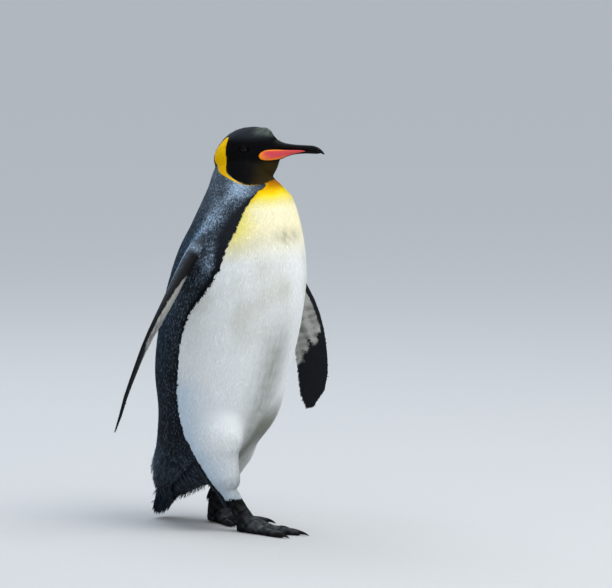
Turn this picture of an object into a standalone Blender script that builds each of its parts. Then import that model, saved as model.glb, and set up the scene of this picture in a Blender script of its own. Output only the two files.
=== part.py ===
"""A life-size king penguin, still, in mid stride, as a museum model.

Metres, +Z up. The bird faces -Y and its own left side is +X. The bare numbers in the tables are
stations of the figure: where a section lies and how wide and deep it is there.

The feathered body is drawn as overlapping lofts, fused into one skin and parted again with thin
plane cuts into head, neck, trunk and legs. Bill, eyes, flippers, tail, feet and claws are made as
pieces of their own and trimmed where they meet it.
"""

import math

import bmesh
import bpy
import numpy as np
from mathutils import Matrix, Vector

ACROSS, UP = Vector((1, 0, 0)), Vector((0, 0, 1))

GAP = 0.0003  # between pieces that touch
TRIM_GAP = 0.00045  # grown round a piece before it is cut out of another, as facets eat into it

SPINE_RING = 40  # corners of a body section
HEAD_RING = 28
LIMB_RING = 16
BILL_RING = 12
BODY_FULLNESS = 0.96  # under 1 squares a section a little
HEAD_FULLNESS = 0.94
TAIL_FULLNESS = 0.85
BODY_VOXEL = 0.0035
BODY_FACES = 3000
FOOT_VOXEL = 0.0018
FOOT_FACES = 570

# Trunk and neck, from the tail's root up into the head:
# (y, z, half width, half depth, how many degrees the section leans).
TRUNK_STATIONS = (
    (0.186, 0.064, 0.028, 0.014, 38),
    (0.163, 0.094, 0.058, 0.042, 40),
    (0.110, 0.152, 0.090, 0.078, 36),
    (0.064, 0.222, 0.113, 0.114, 26),
    (0.038, 0.300, 0.131, 0.140, 16),
    (0.014, 0.395, 0.137, 0.150, 14),
    (-0.010, 0.480, 0.136, 0.150, 14),
    (-0.032, 0.560, 0.130, 0.141, 13),
    (-0.046, 0.630, 0.113, 0.121, 7),
    (-0.049, 0.690, 0.090, 0.103, 0),
    (-0.046, 0.716, 0.077, 0.088, 0),
    (-0.033, 0.736, 0.062, 0.069, 0),
    (-0.031, 0.762, 0.052, 0.060, 0),
    (-0.038, 0.790, 0.034, 0.038, 0),
)
TRUNK_SECTIONS = 34
NECK_CUT = Vector((0.0, -0.044, 0.665))  # a point of the plane where neck and trunk part
NECK_CUT_TILT = math.radians(14)

# Head: it looks a little to the bird's left.
HEAD_YAW = math.radians(24)
HEAD_CENTRE = Vector((0.0, -0.040, 0.795))
# Along the way it looks: (forward, half width, height of the top, height of the underside).
HEAD_STATIONS = (
    (-0.066, 0.010, -0.010, -0.026),
    (-0.059, 0.024, 0.006, -0.036),
    (-0.047, 0.033, 0.023, -0.046),
    (-0.031, 0.039, 0.038, -0.056),
    (-0.010, 0.041, 0.048, -0.065),
    (0.013, 0.039, 0.052, -0.070),
    (0.034, 0.031, 0.052, -0.069),
    (0.050, 0.0235, 0.049, -0.063),
    (0.060, 0.0185, 0.041, -0.052),
    (0.068, 0.0155, 0.030, -0.036),
    (0.076, 0.0120, 0.022, -0.017),
    (0.083, 0.0060, 0.014, -0.003),
)
HEAD_SECTIONS = 22
HEAD_CUT = Vector((0.0, -0.036, 0.745))  # a point of the cut under the hood
HEAD_CUT_TILT = math.radians(-14)

EYE_RADIUS = 0.0100
EYE_PLACE = Vector((0.008, 0.0290, 0.007))  # forward, out, up from the head's centre

# Bill, in the head's own frame: (forward, half width, top, bottom).
BILL_UPPER_STATIONS = (
    (0.056, 0.0140, 0.0280, 0.0050),
    (0.070, 0.0128, 0.0258, 0.0054),
    (0.080, 0.0112, 0.0212, 0.0058),
    (0.090, 0.0098, 0.0182, 0.0060),
    (0.112, 0.0078, 0.0158, 0.0060),
    (0.135, 0.0064, 0.0150, 0.0052),
    (0.150, 0.0056, 0.0140, 0.0030),
    (0.162, 0.0046, 0.0095, -0.0005),
    (0.170, 0.0028, 0.0025, -0.0040),
    (0.175, 0.0008, -0.0045, -0.0068),
)
BILL_LOWER_STATIONS = (
    (0.046, 0.0190, 0.0090, -0.0150),
    (0.062, 0.0150, 0.0100, -0.0165),
    (0.078, 0.0112, 0.0100, -0.0156),
    (0.090, 0.0092, 0.0100, -0.0104),
    (0.106, 0.0074, 0.0095, -0.0052),
    (0.130, 0.0054, 0.0090, -0.0026),
    (0.148, 0.0042, 0.0070, -0.0030),
    (0.158, 0.0028, 0.0040, -0.0034),
    (0.165, 0.0010, -0.0002, -0.0032),
)
# The coloured plate on each side of the lower bill: (forward, out, height, half depth).
PLATE_STATIONS = (
    (0.0410, 0.0282, -0.0080, 0.0010),
    (0.0450, 0.0262, -0.0075, 0.0062),
    (0.0520, 0.0226, -0.0064, 0.0098),
    (0.0620, 0.0178, -0.0056, 0.0108),
    (0.0760, 0.0126, -0.0046, 0.0100),
    (0.0900, 0.0092, -0.0024, 0.0074),
    (0.1060, 0.0072, 0.0006, 0.0044),
    (0.1220, 0.0058, 0.0024, 0.0024),
    (0.1310, 0.0052, 0.0030, 0.0008),
)
PLATE_THICK = 0.0022

# Flippers: (share of the span, chord, thickness, how far the leading edge stands out, bow,
# degrees that the leading edge faces outward of ahead). They twist about the leading edge.
FLIPPER_SPAN = {"left": 0.429, "right": 0.422}
FLIPPER_ROOT = Vector((0.118, -0.016, 0.605))  # the left one; the right mirrors it
FLIPPER_OUT, FLIPPER_BACK, FLIPPER_DOWN = 0.181, 0.076, 0.384
THIN_EDGE = 0.28  # thickness of a flipper's trailing edge, as a share of the leading one's
FLIPPER_TURN = 53  # as if there were no twist
FLIPPER_STATIONS = (
    (-0.08, 0.030, 0.024, -0.008, -0.018, 53),
    (0.00, 0.048, 0.034, -0.003, 0.001, 55),
    (0.12, 0.056, 0.032, 0.002, 0.007, 59),
    (0.25, 0.065, 0.026, 0.012, 0.010, 64),
    (0.40, 0.071, 0.018, 0.027, 0.012, 63),
    (0.55, 0.072, 0.014, 0.0355, 0.0115, 58),
    (0.70, 0.070, 0.011, 0.0355, 0.0065, 54),
    (0.84, 0.066, 0.009, 0.030, 0.0015, 53),
    (0.93, 0.052, 0.007, 0.021, -0.004, 53),
    (1.00, 0.018, 0.004, 0.010, -0.006, 53),
)

# Legs: (x, y, z, half width, half depth), out of the trunk down to the ankle.
LEG_STATIONS = {
    "right": (
        (-0.058, 0.018, 0.290, 0.046, 0.066),
        (-0.060, -0.006, 0.215, 0.054, 0.074),
        (-0.054, -0.008, 0.160, 0.044, 0.056),
        (-0.045, -0.022, 0.115, 0.030, 0.037),
        (-0.041, -0.024, 0.086, 0.021, 0.023),
        (-0.039, -0.034, 0.068, 0.017, 0.018),
    ),
    "left": (
        (0.058, 0.040, 0.290, 0.046, 0.062),
        (0.059, 0.041, 0.215, 0.053, 0.066),
        (0.053, 0.051, 0.160, 0.041, 0.052),
        (0.046, 0.058, 0.115, 0.029, 0.036),
        (0.041, 0.070, 0.086, 0.020, 0.022),
        (0.039, 0.076, 0.068, 0.017, 0.018),
    ),
}
LIMB_SECTIONS = 14
LEG_CUT = Vector((0.0, 0.0, 0.170))  # a point of the plane where trunk and legs part
LEG_CUT_TILT = math.radians(33)

# Feet: heel on the floor and the way each points, as an angle from ahead towards the bird's left.
FOOT_PLACE = {
    "right": (Vector((-0.036, -0.038, 0.0)), math.radians(18)),
    "left": (Vector((0.035, 0.107, 0.0)), math.radians(4)),
}
# Each toe in the foot's frame (forward, out): root, tip of the flesh, tip of the claw, radius.
TOES = {
    "inner": ((0.040, -0.009), (0.100, -0.038), (0.117, -0.046), 0.0090),
    "middle": ((0.042, 0.000), (0.150, 0.000), (0.174, 0.001), 0.0105),
    "outer": ((0.040, 0.010), (0.131, 0.043), (0.151, 0.049), 0.0102),
}
TOE_SECTIONS = 12
TOE_RISE = 0.016  # how much higher a toe is at its root
TOE_TAPER = 0.28  # how much thinner a toe gets
TOE_PADS = 0.10  # how much its pads swell
# Small hind toe in the foot's frame: (forward, out, up, radius).
HALLUX = (
    (0.022, -0.010, 0.016, 0.0055),
    (0.034, -0.022, 0.010, 0.0045),
    (0.040, -0.026, 0.006, 0.0025),
)
WEB_LEVEL = 0.002  # underside of the web
WEB_THICK = 0.0045
CLAW_RADIUS = 0.0062
SOLE_LEVEL = 0.0025  # cut off the pads, for flats to stand on

# Tail: (y, z, half width, half thickness), from the rump down to the tip.
TAIL_STATIONS = (
    (0.150, 0.118, 0.030, 0.014),
    (0.172, 0.086, 0.038, 0.013),
    (0.188, 0.058, 0.038, 0.009),
    (0.200, 0.034, 0.036, 0.006),
    (0.209, 0.015, 0.031, 0.0040),
    (0.213, 0.0045, 0.022, 0.0022),
)

COLOURS = {
    "black": (0.012, 0.013, 0.018, 0.75, 0.0),
    "slate": (0.060, 0.080, 0.115, 0.65, 0.0),
    "white": (0.800, 0.800, 0.770, 0.70, 0.0),
    "horn": (0.020, 0.020, 0.024, 0.35, 0.0),
    "plate": (0.800, 0.180, 0.120, 0.30, 0.0),
    "skin": (0.030, 0.030, 0.034, 0.60, 0.0),
    "eye": (0.040, 0.015, 0.006, 0.05, 0.0),
}


def clear_scene():
    for obj in list(bpy.data.objects):
        bpy.data.objects.remove(obj)


def material(name):
    found = bpy.data.materials.get(name)
    if found:
        return found
    made = bpy.data.materials.new(name)
    made.use_nodes = True
    red, green, blue, roughness, metallic = COLOURS[name]
    shader = made.node_tree.nodes["Principled BSDF"]
    shader.inputs["Base Color"].default_value = (red, green, blue, 1)
    shader.inputs["Roughness"].default_value = roughness
    shader.inputs["Metallic"].default_value = metallic
    made.diffuse_color = (red, green, blue, 1)
    return made


def smooth_rows(rows, count):
    """Rows between the given ones, evenly by distance, on Catmull-Rom curves through them."""
    table = np.array(rows, float)
    ends = np.vstack([2 * table[0] - table[1], table, 2 * table[-1] - table[-2]])
    steps = np.r_[0, np.cumsum(np.linalg.norm(np.diff(table[:, :3], axis=0), axis=1))]
    made = []
    for place in np.linspace(0, steps[-1], count):
        i = min(int(np.searchsorted(steps, place, side="right")) - 1, len(table) - 2)
        t = (place - steps[i]) / (steps[i + 1] - steps[i])
        a, b, c, d = ends[i : i + 4]
        square = (2 * a - 5 * b + 4 * c - d) * t**2
        cube = (3 * (b - c) + d - a) * t**3
        made.append(0.5 * (2 * b + (c - a) * t + square + cube))
    return np.array(made)


def oval(centre, across, along, half_width, half_depth, corners, fullness=1.0):
    """A ring of points. Fullness under 1 squares the oval, over 1 pinches it."""
    ring = []
    for k in range(corners):
        angle = 2 * math.pi * k / corners
        c, s = math.cos(angle), math.sin(angle)
        ring.append(
            centre
            + across * (half_width * math.copysign(abs(c) ** fullness, c))
            + along * (half_depth * math.copysign(abs(s) ** fullness, s))
        )
    return ring


def loft(name, rings, colour):
    """A closed skin over rings with the same number of corners, with flat ends."""
    shape = bmesh.new()
    rows = [[shape.verts.new(p) for p in ring] for ring in rings]
    for low, high in zip(rows, rows[1:]):
        for k in range(len(low)):
            j = (k + 1) % len(low)
            shape.faces.new((low[k], low[j], high[j], high[k]))
    shape.faces.new(rows[0][::-1])
    shape.faces.new(rows[-1])
    return finished(name, shape, colour)


def finished(name, shape, colour):
    bmesh.ops.recalc_face_normals(shape, faces=shape.faces)
    if shape.calc_volume(signed=True) < 0:
        bmesh.ops.reverse_faces(shape, faces=shape.faces)
    mesh = bpy.data.meshes.new(name)
    shape.to_mesh(mesh)
    shape.free()
    obj = bpy.data.objects.new(name, mesh)
    bpy.context.scene.collection.objects.link(obj)
    mesh.materials.append(material(colour))
    mesh.shade_smooth()
    return obj


def swept_oval(name, rows, corners, colour, fullness=1.0):
    """A loft whose sections stand square to the line through (x, y, z) of its rows."""
    points = [Vector(row[:3]) for row in rows]
    rings = []
    for i, row in enumerate(rows):
        tangent = (points[min(i + 1, len(points) - 1)] - points[max(i - 1, 0)]).normalized()
        across = (ACROSS - tangent * tangent.x).normalized()
        along = tangent.cross(across)
        rings.append(oval(points[i], across, along, row[3], row[4], corners, fullness))
    return loft(name, rings, colour)


def settle(obj):
    """Applies the object's modifiers and its place to its mesh."""
    bpy.context.view_layer.update()
    graph = bpy.context.evaluated_depsgraph_get()
    mesh = bpy.data.meshes.new_from_object(obj.evaluated_get(graph))
    mesh.transform(obj.matrix_world)
    obj.modifiers.clear()
    obj.matrix_world = Matrix.Identity(4)
    obj.data = mesh
    return obj


def fused(name, pieces, voxel, faces, colour, rounds=6):
    """One closed skin round overlapping pieces, smoothed where they meet, of about so many faces."""
    shape = bmesh.new()
    for piece in pieces:
        shape.from_mesh(piece.data)
        bpy.data.objects.remove(piece)
    obj = finished(name, shape, colour)
    remesh = obj.modifiers.new("skin", "REMESH")
    remesh.mode = "VOXEL"
    remesh.voxel_size = voxel
    smooth = obj.modifiers.new("soften", "SMOOTH")
    smooth.factor = 0.5
    smooth.iterations = rounds
    settle(obj)
    triangles = 2 * len(obj.data.polygons)
    thin = obj.modifiers.new("thin", "DECIMATE")
    thin.ratio = min(1.0, faces / triangles)
    thin.use_collapse_triangulate = True
    settle(obj)
    obj.data.materials.clear()
    obj.data.materials.append(material(colour))
    obj.data.shade_smooth()
    return obj


def half(obj, name, point, normal, colour):
    """The part of obj that lies beyond the plane, closed with a flat face."""
    shape = bmesh.new()
    shape.from_mesh(obj.data)
    cut = bmesh.ops.bisect_plane(
        shape,
        geom=shape.verts[:] + shape.edges[:] + shape.faces[:],
        dist=1e-7,
        plane_co=point,
        plane_no=normal,
        clear_inner=True,
    )
    edges = [e for e in cut["geom_cut"] if isinstance(e, bmesh.types.BMEdge)]
    bmesh.ops.holes_fill(shape, edges=edges, sides=0)
    return finished(name, shape, colour)


def parted(obj, point, normal, near_name, far_name, near_colour, far_colour):
    """Cuts obj in two along a plane, with the gap between the pieces."""
    normal = normal.normalized()
    far = half(obj, far_name, point + normal * GAP / 2, normal, far_colour)
    near = half(obj, near_name, point - normal * GAP / 2, -normal, near_colour)
    bpy.data.objects.remove(obj)
    near.name, far.name = near_name, far_name
    return near, far


def trim(obj, *others):
    """Cuts the others out of obj, each a little grown."""
    for other in others:
        cutter = bpy.data.objects.new("cutter", other.data.copy())
        bpy.context.scene.collection.objects.link(cutter)
        grow = cutter.modifiers.new("grow", "DISPLACE")
        grow.strength = TRIM_GAP
        grow.mid_level = 0
        settle(cutter)
        cut = obj.modifiers.new("cut", "BOOLEAN")
        cut.object = cutter
        settle(obj)
        bpy.data.objects.remove(cutter)
    return keep_largest(obj)


def keep_largest(obj):
    """Drops the crumbs that a cut leaves."""
    shape = bmesh.new()
    shape.from_mesh(obj.data)
    bmesh.ops.remove_doubles(shape, verts=shape.verts, dist=1e-6)
    left, groups = set(shape.verts), []
    while left:
        group, edge = set(), [left.pop()]
        while edge:
            vert = edge.pop()
            group.add(vert)
            near = {e.other_vert(vert) for e in vert.link_edges} & left
            left -= near
            edge.extend(near)
        groups.append(group)
    groups.sort(key=len, reverse=True)
    for group in groups[1:]:
        bmesh.ops.delete(shape, geom=list(group), context="VERTS")
    shape.to_mesh(obj.data)
    shape.free()
    return obj


def head_matrix():
    """The head's frame: +Y ahead along the bill, +X to the bird's right, +Z up."""
    return Matrix.Translation(HEAD_CENTRE) @ Matrix.Rotation(math.pi + HEAD_YAW, 4, "Z")


def head_rings(stations, count, corners, fullness=1.0):
    frame = head_matrix()
    rings = []
    rows = smooth_rows([(f, 0, 0, w, top, low) for f, w, top, low in stations], count)
    for forward, _, _, width, top, low in rows:
        centre, half_height = Vector((0, forward, (top + low) / 2)), (top - low) / 2
        ring = oval(centre, ACROSS, UP, width, half_height, corners, fullness)
        rings.append([frame @ p for p in ring])
    return rings


def trunk():
    rings = []
    rows = smooth_rows([(0, *row) for row in TRUNK_STATIONS], TRUNK_SECTIONS)
    for _, y, z, width, depth, lean in rows:
        along = Vector((0, math.cos(math.radians(lean)), math.sin(math.radians(lean))))
        rings.append(oval(Vector((0, y, z)), ACROSS, along, width, depth, SPINE_RING, BODY_FULLNESS))
    return loft("trunk_form", rings, "slate")


def leg(side):
    rows = smooth_rows(LEG_STATIONS[side], LIMB_SECTIONS)
    return swept_oval("leg_form", rows, LIMB_RING, "white")


def body_pieces():
    """Head, neck, trunk and legs, parted from one fused body."""
    rings = head_rings(HEAD_STATIONS, HEAD_SECTIONS, HEAD_RING, HEAD_FULLNESS)
    forms = [trunk(), loft("head_form", rings, "black"), leg("left"), leg("right")]
    body = fused("body", forms, BODY_VOXEL, BODY_FACES, "slate")
    up = Vector((0, -math.sin(NECK_CUT_TILT), math.cos(NECK_CUT_TILT)))
    lower, upper = parted(body, NECK_CUT, up, "trunk", "upper", "slate", "slate")
    up = Vector((0, -math.sin(HEAD_CUT_TILT), math.cos(HEAD_CUT_TILT)))
    parted(upper, HEAD_CUT, up, "neck", "head", "slate", "black")
    down = Vector((0, -math.sin(LEG_CUT_TILT), -math.cos(LEG_CUT_TILT)))
    _, legs = parted(lower, LEG_CUT, down, "trunk", "legs", "slate", "white")
    parted(legs, Vector((0, 0, 0)), ACROSS, "leg_right", "leg_left", "white", "white")


def eye(side, sign):
    place = head_matrix() @ Vector((-sign * EYE_PLACE.y, EYE_PLACE.x, EYE_PLACE.z))
    shape = bmesh.new()
    bmesh.ops.create_uvsphere(
        shape, u_segments=14, v_segments=9, radius=EYE_RADIUS, matrix=Matrix.Translation(place)
    )
    return finished(f"eye_{side}", shape, "eye")


def bill():
    upper = loft("bill_upper", head_rings(BILL_UPPER_STATIONS, 15, BILL_RING), "horn")
    lower = loft("bill_lower", head_rings(BILL_LOWER_STATIONS, 13, BILL_RING), "horn")
    return upper, lower


def plate(side, sign):
    """The coloured plate: a shallow lens lying on the side of the lower bill."""
    frame = head_matrix()
    rings = []
    for forward, out, height, half_depth in smooth_rows(PLATE_STATIONS, 11):
        centre = Vector((-sign * out, forward, height))
        ring = oval(centre, ACROSS * -sign, UP, PLATE_THICK, half_depth, 8)
        rings.append([frame @ p for p in ring])
    return loft(f"bill_plate_{side}", rings, "plate")


def flipper_lead(span, sign, turn):
    """The way a flipper's leading edge faces, square to its span."""
    lead = Vector((sign * math.sin(math.radians(turn)), -math.cos(math.radians(turn)), 0))
    return (lead - span * lead.dot(span)).normalized()


def flipper(side, sign):
    """A blade with a round leading edge, a thin trailing edge, a slight outward bow and a twist."""
    root = Vector((sign * FLIPPER_ROOT.x, FLIPPER_ROOT.y, FLIPPER_ROOT.z))
    span = Vector((sign * FLIPPER_OUT, FLIPPER_BACK, -FLIPPER_DOWN)).normalized()
    straight = flipper_lead(span, sign, FLIPPER_TURN)
    outward = straight.cross(span) * sign
    rings = []
    stations = [(t * FLIPPER_SPAN[side], 0, 0, *sizes) for t, *sizes in FLIPPER_STATIONS]
    for place, _, _, chord, thick, edge, bow, turn in smooth_rows(stations, LIMB_SECTIONS):
        lead = flipper_lead(span, sign, turn)
        outer = lead.cross(span) * sign
        front = root + span * place + outward * bow + straight * (edge + chord / 2)
        ring = []
        for k in range(LIMB_RING):
            angle = 2 * math.pi * k / LIMB_RING
            along = math.cos(angle)
            taper = THIN_EDGE + (1 - THIN_EDGE) * math.sqrt((1 + along) / 2)
            rise = thick / 2 * math.sin(angle) * taper
            ring.append(front + lead * (chord / 2 * (along - 1)) + outer * rise)
        rings.append(ring)
    return loft(f"flipper_{side}", rings, "black")


def foot_frame(side):
    heel, turn = FOOT_PLACE[side]
    return Matrix.Translation(heel) @ Matrix.Rotation(turn + math.pi, 4, "Z")


def foot_point(side, sign, forward, out, up):
    """From (forward, out, up) in the foot's frame to the bird's."""
    return foot_frame(side) @ Vector((-sign * out, forward, up))


def toe(side, sign, name):
    (root_f, root_o), (tip_f, tip_o), _, radius = TOES[name]
    rows = []
    for t in np.linspace(0, 1, TOE_SECTIONS):
        forward = root_f + (tip_f - root_f) * t
        out = root_o + (tip_o - root_o) * t
        size = radius * (1 - TOE_TAPER * t) * (1 + TOE_PADS * math.sin(3 * math.pi * t))
        half_height = size + TOE_RISE / 2 * (1 - t) ** 2
        point = foot_point(side, sign, forward, out, half_height - SOLE_LEVEL)
        rows.append((*point, size, half_height))
    end = foot_point(side, sign, tip_f + 0.004, tip_o * 1.03, radius * 0.7 - SOLE_LEVEL)
    rows.append((*end, radius * 0.35, radius * 0.35))
    return round_tube("toe", rows, 12)


def round_tube(name, rows, corners):
    """A tube along any line, with sections square to it."""
    points = [Vector(row[:3]) for row in rows]
    rings = []
    for i, row in enumerate(rows):
        tangent = (points[min(i + 1, len(points) - 1)] - points[max(i - 1, 0)]).normalized()
        across = tangent.cross(UP).normalized()
        rings.append(oval(points[i], across, across.cross(tangent), row[3], row[4], corners))
    return loft(name, rings, "skin")


def web(side, sign):
    """The skin between the toes: a thin plate, its front edges curved in."""
    outline = [(0.030, -0.010)]
    for first, second in (("inner", "middle"), ("middle", "outer")):
        a, b = Vector(TOES[first][1]), Vector(TOES[second][1])
        for t in np.linspace(0, 1, 7):
            between = a.lerp(b, t)
            between.x -= 0.007 + 0.014 * math.sin(math.pi * t)
            outline.append(tuple(between))
    outline.append((0.030, 0.010))
    shape = bmesh.new()
    rows = []
    for level in (WEB_LEVEL, WEB_LEVEL + WEB_THICK):
        rows.append([shape.verts.new(foot_point(side, sign, f, o, level)) for f, o in outline])
    shape.faces.new(rows[0])
    shape.faces.new(rows[1])
    for k in range(len(outline)):
        j = (k + 1) % len(outline)
        shape.faces.new((rows[0][k], rows[0][j], rows[1][j], rows[1][k]))
    return finished("web", shape, "skin")


def foot(side, sign):
    """Tarsus, heel pad, toes and web, fused, with the pads cut flat at the floor."""
    x, y, z, *_ = LEG_STATIONS[side][-1]
    heel = foot_point(side, sign, 0.012, 0, 0.013 - SOLE_LEVEL)
    instep = foot_point(side, sign, 0.052, 0, 0.018 - SOLE_LEVEL)
    above = Vector((x, y, z + 0.012))
    middle = above.lerp(foot_point(side, sign, 0.026, 0, 0.026), 0.55)
    ankle = foot_point(side, sign, 0.030, 0, 0.020)
    shank = [(*above, 0.0150, 0.0160), (*middle, 0.0155, 0.0185), (*ankle, 0.0170, 0.0240)]
    pieces = [swept_oval("shank", smooth_rows(shank, 8), LIMB_RING, "skin")]
    sole = heel.lerp(instep, 0.5)
    pad = [(*heel, 0.013, 0.013), (*sole, 0.019, 0.0158), (*instep, 0.017, 0.018)]
    pieces.append(round_tube("pad", smooth_rows(pad, 8), LIMB_RING))
    pieces += [toe(side, sign, name) for name in TOES]
    pieces.append(web(side, sign))
    hallux = [(*foot_point(side, sign, *place), radius, radius) for *place, radius in HALLUX]
    pieces.append(round_tube("hallux", hallux, 10))
    whole = fused(f"foot_{side}_form", pieces, FOOT_VOXEL, FOOT_FACES, "skin", 4)
    made = half(whole, f"foot_{side}", Vector((0, 0, 0)), UP, "skin")
    bpy.data.objects.remove(whole)
    return made


def claw(side, sign, name):
    """A curved, tapering claw on the end of a toe."""
    _, (tip_f, tip_o), (end_f, end_o), radius = TOES[name]
    rows = []
    for t in np.linspace(0, 1, 6):
        forward = tip_f - 0.006 + (end_f - tip_f + 0.006) * t
        out = tip_o + (end_o - tip_o) * t
        height = 0.0095 + 0.0030 * math.sin(math.pi * t) - 0.0085 * t**1.6
        size = CLAW_RADIUS * (1 - t) ** 0.7 + 0.0005
        rows.append((*foot_point(side, sign, forward, out, height), size * 0.85, size))
    return round_tube(f"claw_{side}_{name}", rows, 8)


def tail():
    rows = smooth_rows([(0, *row) for row in TAIL_STATIONS], 8)
    return swept_oval("tail", rows, LIMB_RING, "black", TAIL_FULLNESS)


def stand_on_origin():
    """Moves the bird so that its box stands centred over the origin, on the floor."""
    solids = list(bpy.context.scene.objects)
    corners = np.array([v.co for obj in solids for v in obj.data.vertices])
    low, high = corners.min(0), corners.max(0)
    shift = Vector((-(low[0] + high[0]) / 2, -(low[1] + high[1]) / 2, -low[2]))
    for obj in solids:
        obj.data.transform(Matrix.Translation(shift))


def main():
    clear_scene()
    body_pieces()
    objects = bpy.data.objects
    head, neck, body = objects["head"], objects["neck"], objects["trunk"]
    upper, lower = bill()
    eyes = [eye("left", 1), eye("right", -1)]
    plates = [plate("left", 1), plate("right", -1)]
    for piece in plates:
        trim(piece, upper, lower, head)
    trim(lower, upper, head)
    trim(upper, head)
    trim(head, *eyes)
    trim(tail(), body)
    for side, sign in (("left", 1), ("right", -1)):
        trim(flipper(side, sign), body)
        shin = objects[f"leg_{side}"]
        base = trim(foot(side, sign), shin)
        for name in TOES:
            trim(claw(side, sign, name), base)
    stand_on_origin()


main()
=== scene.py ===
"""The looks of a life-size king penguin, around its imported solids.

One skin, drawn from the solids of flesh, carries the markings. Feathers and foot scales are small
vanes of real mesh that grow from that skin along the lie of the coat. Bill, eyes and claws are
pieces of their own. Metres, +Z up; the bird faces -Y and its left side is +X.
"""

import itertools
import math

import bmesh
import bpy
import numpy as np
from mathutils import Matrix, Vector
from mathutils.bvhtree import BVHTree


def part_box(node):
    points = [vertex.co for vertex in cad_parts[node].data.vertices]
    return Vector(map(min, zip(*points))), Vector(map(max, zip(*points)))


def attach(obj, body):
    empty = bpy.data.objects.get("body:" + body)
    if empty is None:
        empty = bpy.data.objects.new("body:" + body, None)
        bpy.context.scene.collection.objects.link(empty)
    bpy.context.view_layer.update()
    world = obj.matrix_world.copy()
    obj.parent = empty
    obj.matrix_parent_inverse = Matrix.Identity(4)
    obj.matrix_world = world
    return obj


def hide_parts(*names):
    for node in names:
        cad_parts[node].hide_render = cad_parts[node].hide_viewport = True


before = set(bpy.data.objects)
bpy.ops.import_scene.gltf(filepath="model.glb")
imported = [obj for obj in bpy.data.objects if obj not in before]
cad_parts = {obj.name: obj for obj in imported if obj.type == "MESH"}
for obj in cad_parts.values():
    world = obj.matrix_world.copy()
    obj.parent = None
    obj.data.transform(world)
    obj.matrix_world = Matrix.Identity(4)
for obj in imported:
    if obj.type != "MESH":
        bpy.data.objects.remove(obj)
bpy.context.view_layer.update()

UP = Vector((0, 0, 1))
SIDES = (("left", 1), ("right", -1))
MM = 0.001

# --- small tools


def ease(low, high, value):
    """0 at low, 1 at high, smooth between them."""
    share = np.clip((value - low) / (high - low), 0, 1)
    return share * share * (3 - 2 * share)


def hump(*terms):
    """A bell of height 1. Each term is (value, middle, width)."""
    return np.exp(-sum(((value - middle) / width) ** 2 for value, middle, width in terms))


def along(stations, value, column=1):
    """A column of a table, read between its rows by their first column."""
    table = np.array(stations)
    return np.interp(value, table[:, 0], table[:, column])


def mix(first, second, share):
    share = np.asarray(share)[..., None]
    return first * (1 - share) + second * share


def choose(here, first, second):
    """The first pair of (root, tip) colours here, the second elsewhere."""
    return [np.where(here[:, None], a, b) for a, b in zip(first, second)]


def dot(first, second):
    return np.sum(first * second, axis=1)


def unit(rows, least=0.0):
    return rows / (np.linalg.norm(rows, axis=1)[:, None] + least)


def degrees(y, x):
    return np.degrees(np.arctan2(y, x))


def columns(*values):
    return np.column_stack(np.broadcast_arrays(*values))


def moved(points, matrix):
    matrix = np.array(matrix)
    return points @ matrix[:3, :3].T + matrix[:3, 3]


def circle(corners):
    """Cosines and sines round a ring."""
    angle = 2 * math.pi * np.arange(corners) / corners
    return np.cos(angle), np.sin(angle)


def ripple(points, wavelength, seed):
    """Soft noise about 0, of about unit size: a sum of plane waves in seeded directions."""
    draw = np.random.default_rng(seed)
    total = np.zeros(len(points))
    for _ in range(7):
        way = draw.normal(size=3)
        way /= np.linalg.norm(way)
        pitch = 2 * math.pi / (wavelength * draw.uniform(0.7, 1.5))
        total += np.sin(points @ way * pitch + draw.uniform(0, 2 * math.pi))
    return total / 2.6


# --- places

WINGS, LEGS, FEET = ([f"{part}_{side}" for side, _ in SIDES] for part in ("flipper", "leg", "foot"))
FLESH = ["head", "neck", "trunk", "tail", *LEGS, *WINGS, *FEET]
NODE = {name: index for index, name in enumerate(FLESH)}


def on(node, *names):
    """Which points belong to these nodes."""
    return np.isin(node, [NODE[name] for name in names])


def middle(node):
    low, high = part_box(node)
    return (low + high) / 2


EYE_RADIUS = 10.0 * MM
EYE_AHEAD, EYE_ABOVE = 8.0 * MM, 7.0 * MM  # of the head's centre
EYES = {side: middle(f"eye_{side}") for side, _ in SIDES}


def head_frame():
    """From the head's own coordinates (right, ahead, up) to the room's. The eyes give its place."""
    right = (EYES["right"] - EYES["left"]).normalized()
    ahead = UP.cross(right)
    centre = (EYES["left"] + EYES["right"]) / 2 - ahead * EYE_AHEAD - UP * EYE_ABOVE
    turned = Matrix((right, ahead, UP)).transposed().to_4x4()
    return Matrix.Translation(centre) @ turned


HEAD = head_frame()
HEAD_INVERSE = np.array(HEAD.inverted())

# Spine, from the rump up to the head: (height, y).
SPINE = (
    (0.094, 0.1575), (0.152, 0.1045), (0.222, 0.0585), (0.3, 0.0325), (0.395, 0.0085), (0.48, -0.0155),
    (0.56, -0.0375), (0.63, -0.0515), (0.69, -0.0545), (0.75, -0.044),
)

FLIPPER_SPAN = {1: 0.429, -1: 0.422}  # the left one's and the right one's
FLIPPER_ROOT = np.array((0.118, -0.0215, 0.605))  # the left one; the right mirrors it
FLIPPER_AXIS = np.array((0.181, 0.076, -0.384))
FLIPPER_TURN = 53.0  # degrees that the leading edge faces outward of ahead, but for the twist
# (share of the span, chord, how far the leading edge stands out, bow, degrees with the twist).
FLIPPER_STATIONS = (
    (0.0, 0.048, -0.003, 0.001, 55), (0.12, 0.056, 0.002, 0.007, 59), (0.25, 0.065, 0.012, 0.01, 64),
    (0.4, 0.071, 0.027, 0.012, 63), (0.55, 0.072, 0.0355, 0.0115, 58), (0.7, 0.07, 0.0355, 0.0065, 54),
    (0.84, 0.066, 0.03, 0.0015, 53), (0.93, 0.052, 0.021, -0.004, 53), (1.0, 0.018, 0.01, -0.006, 53),
)

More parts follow.
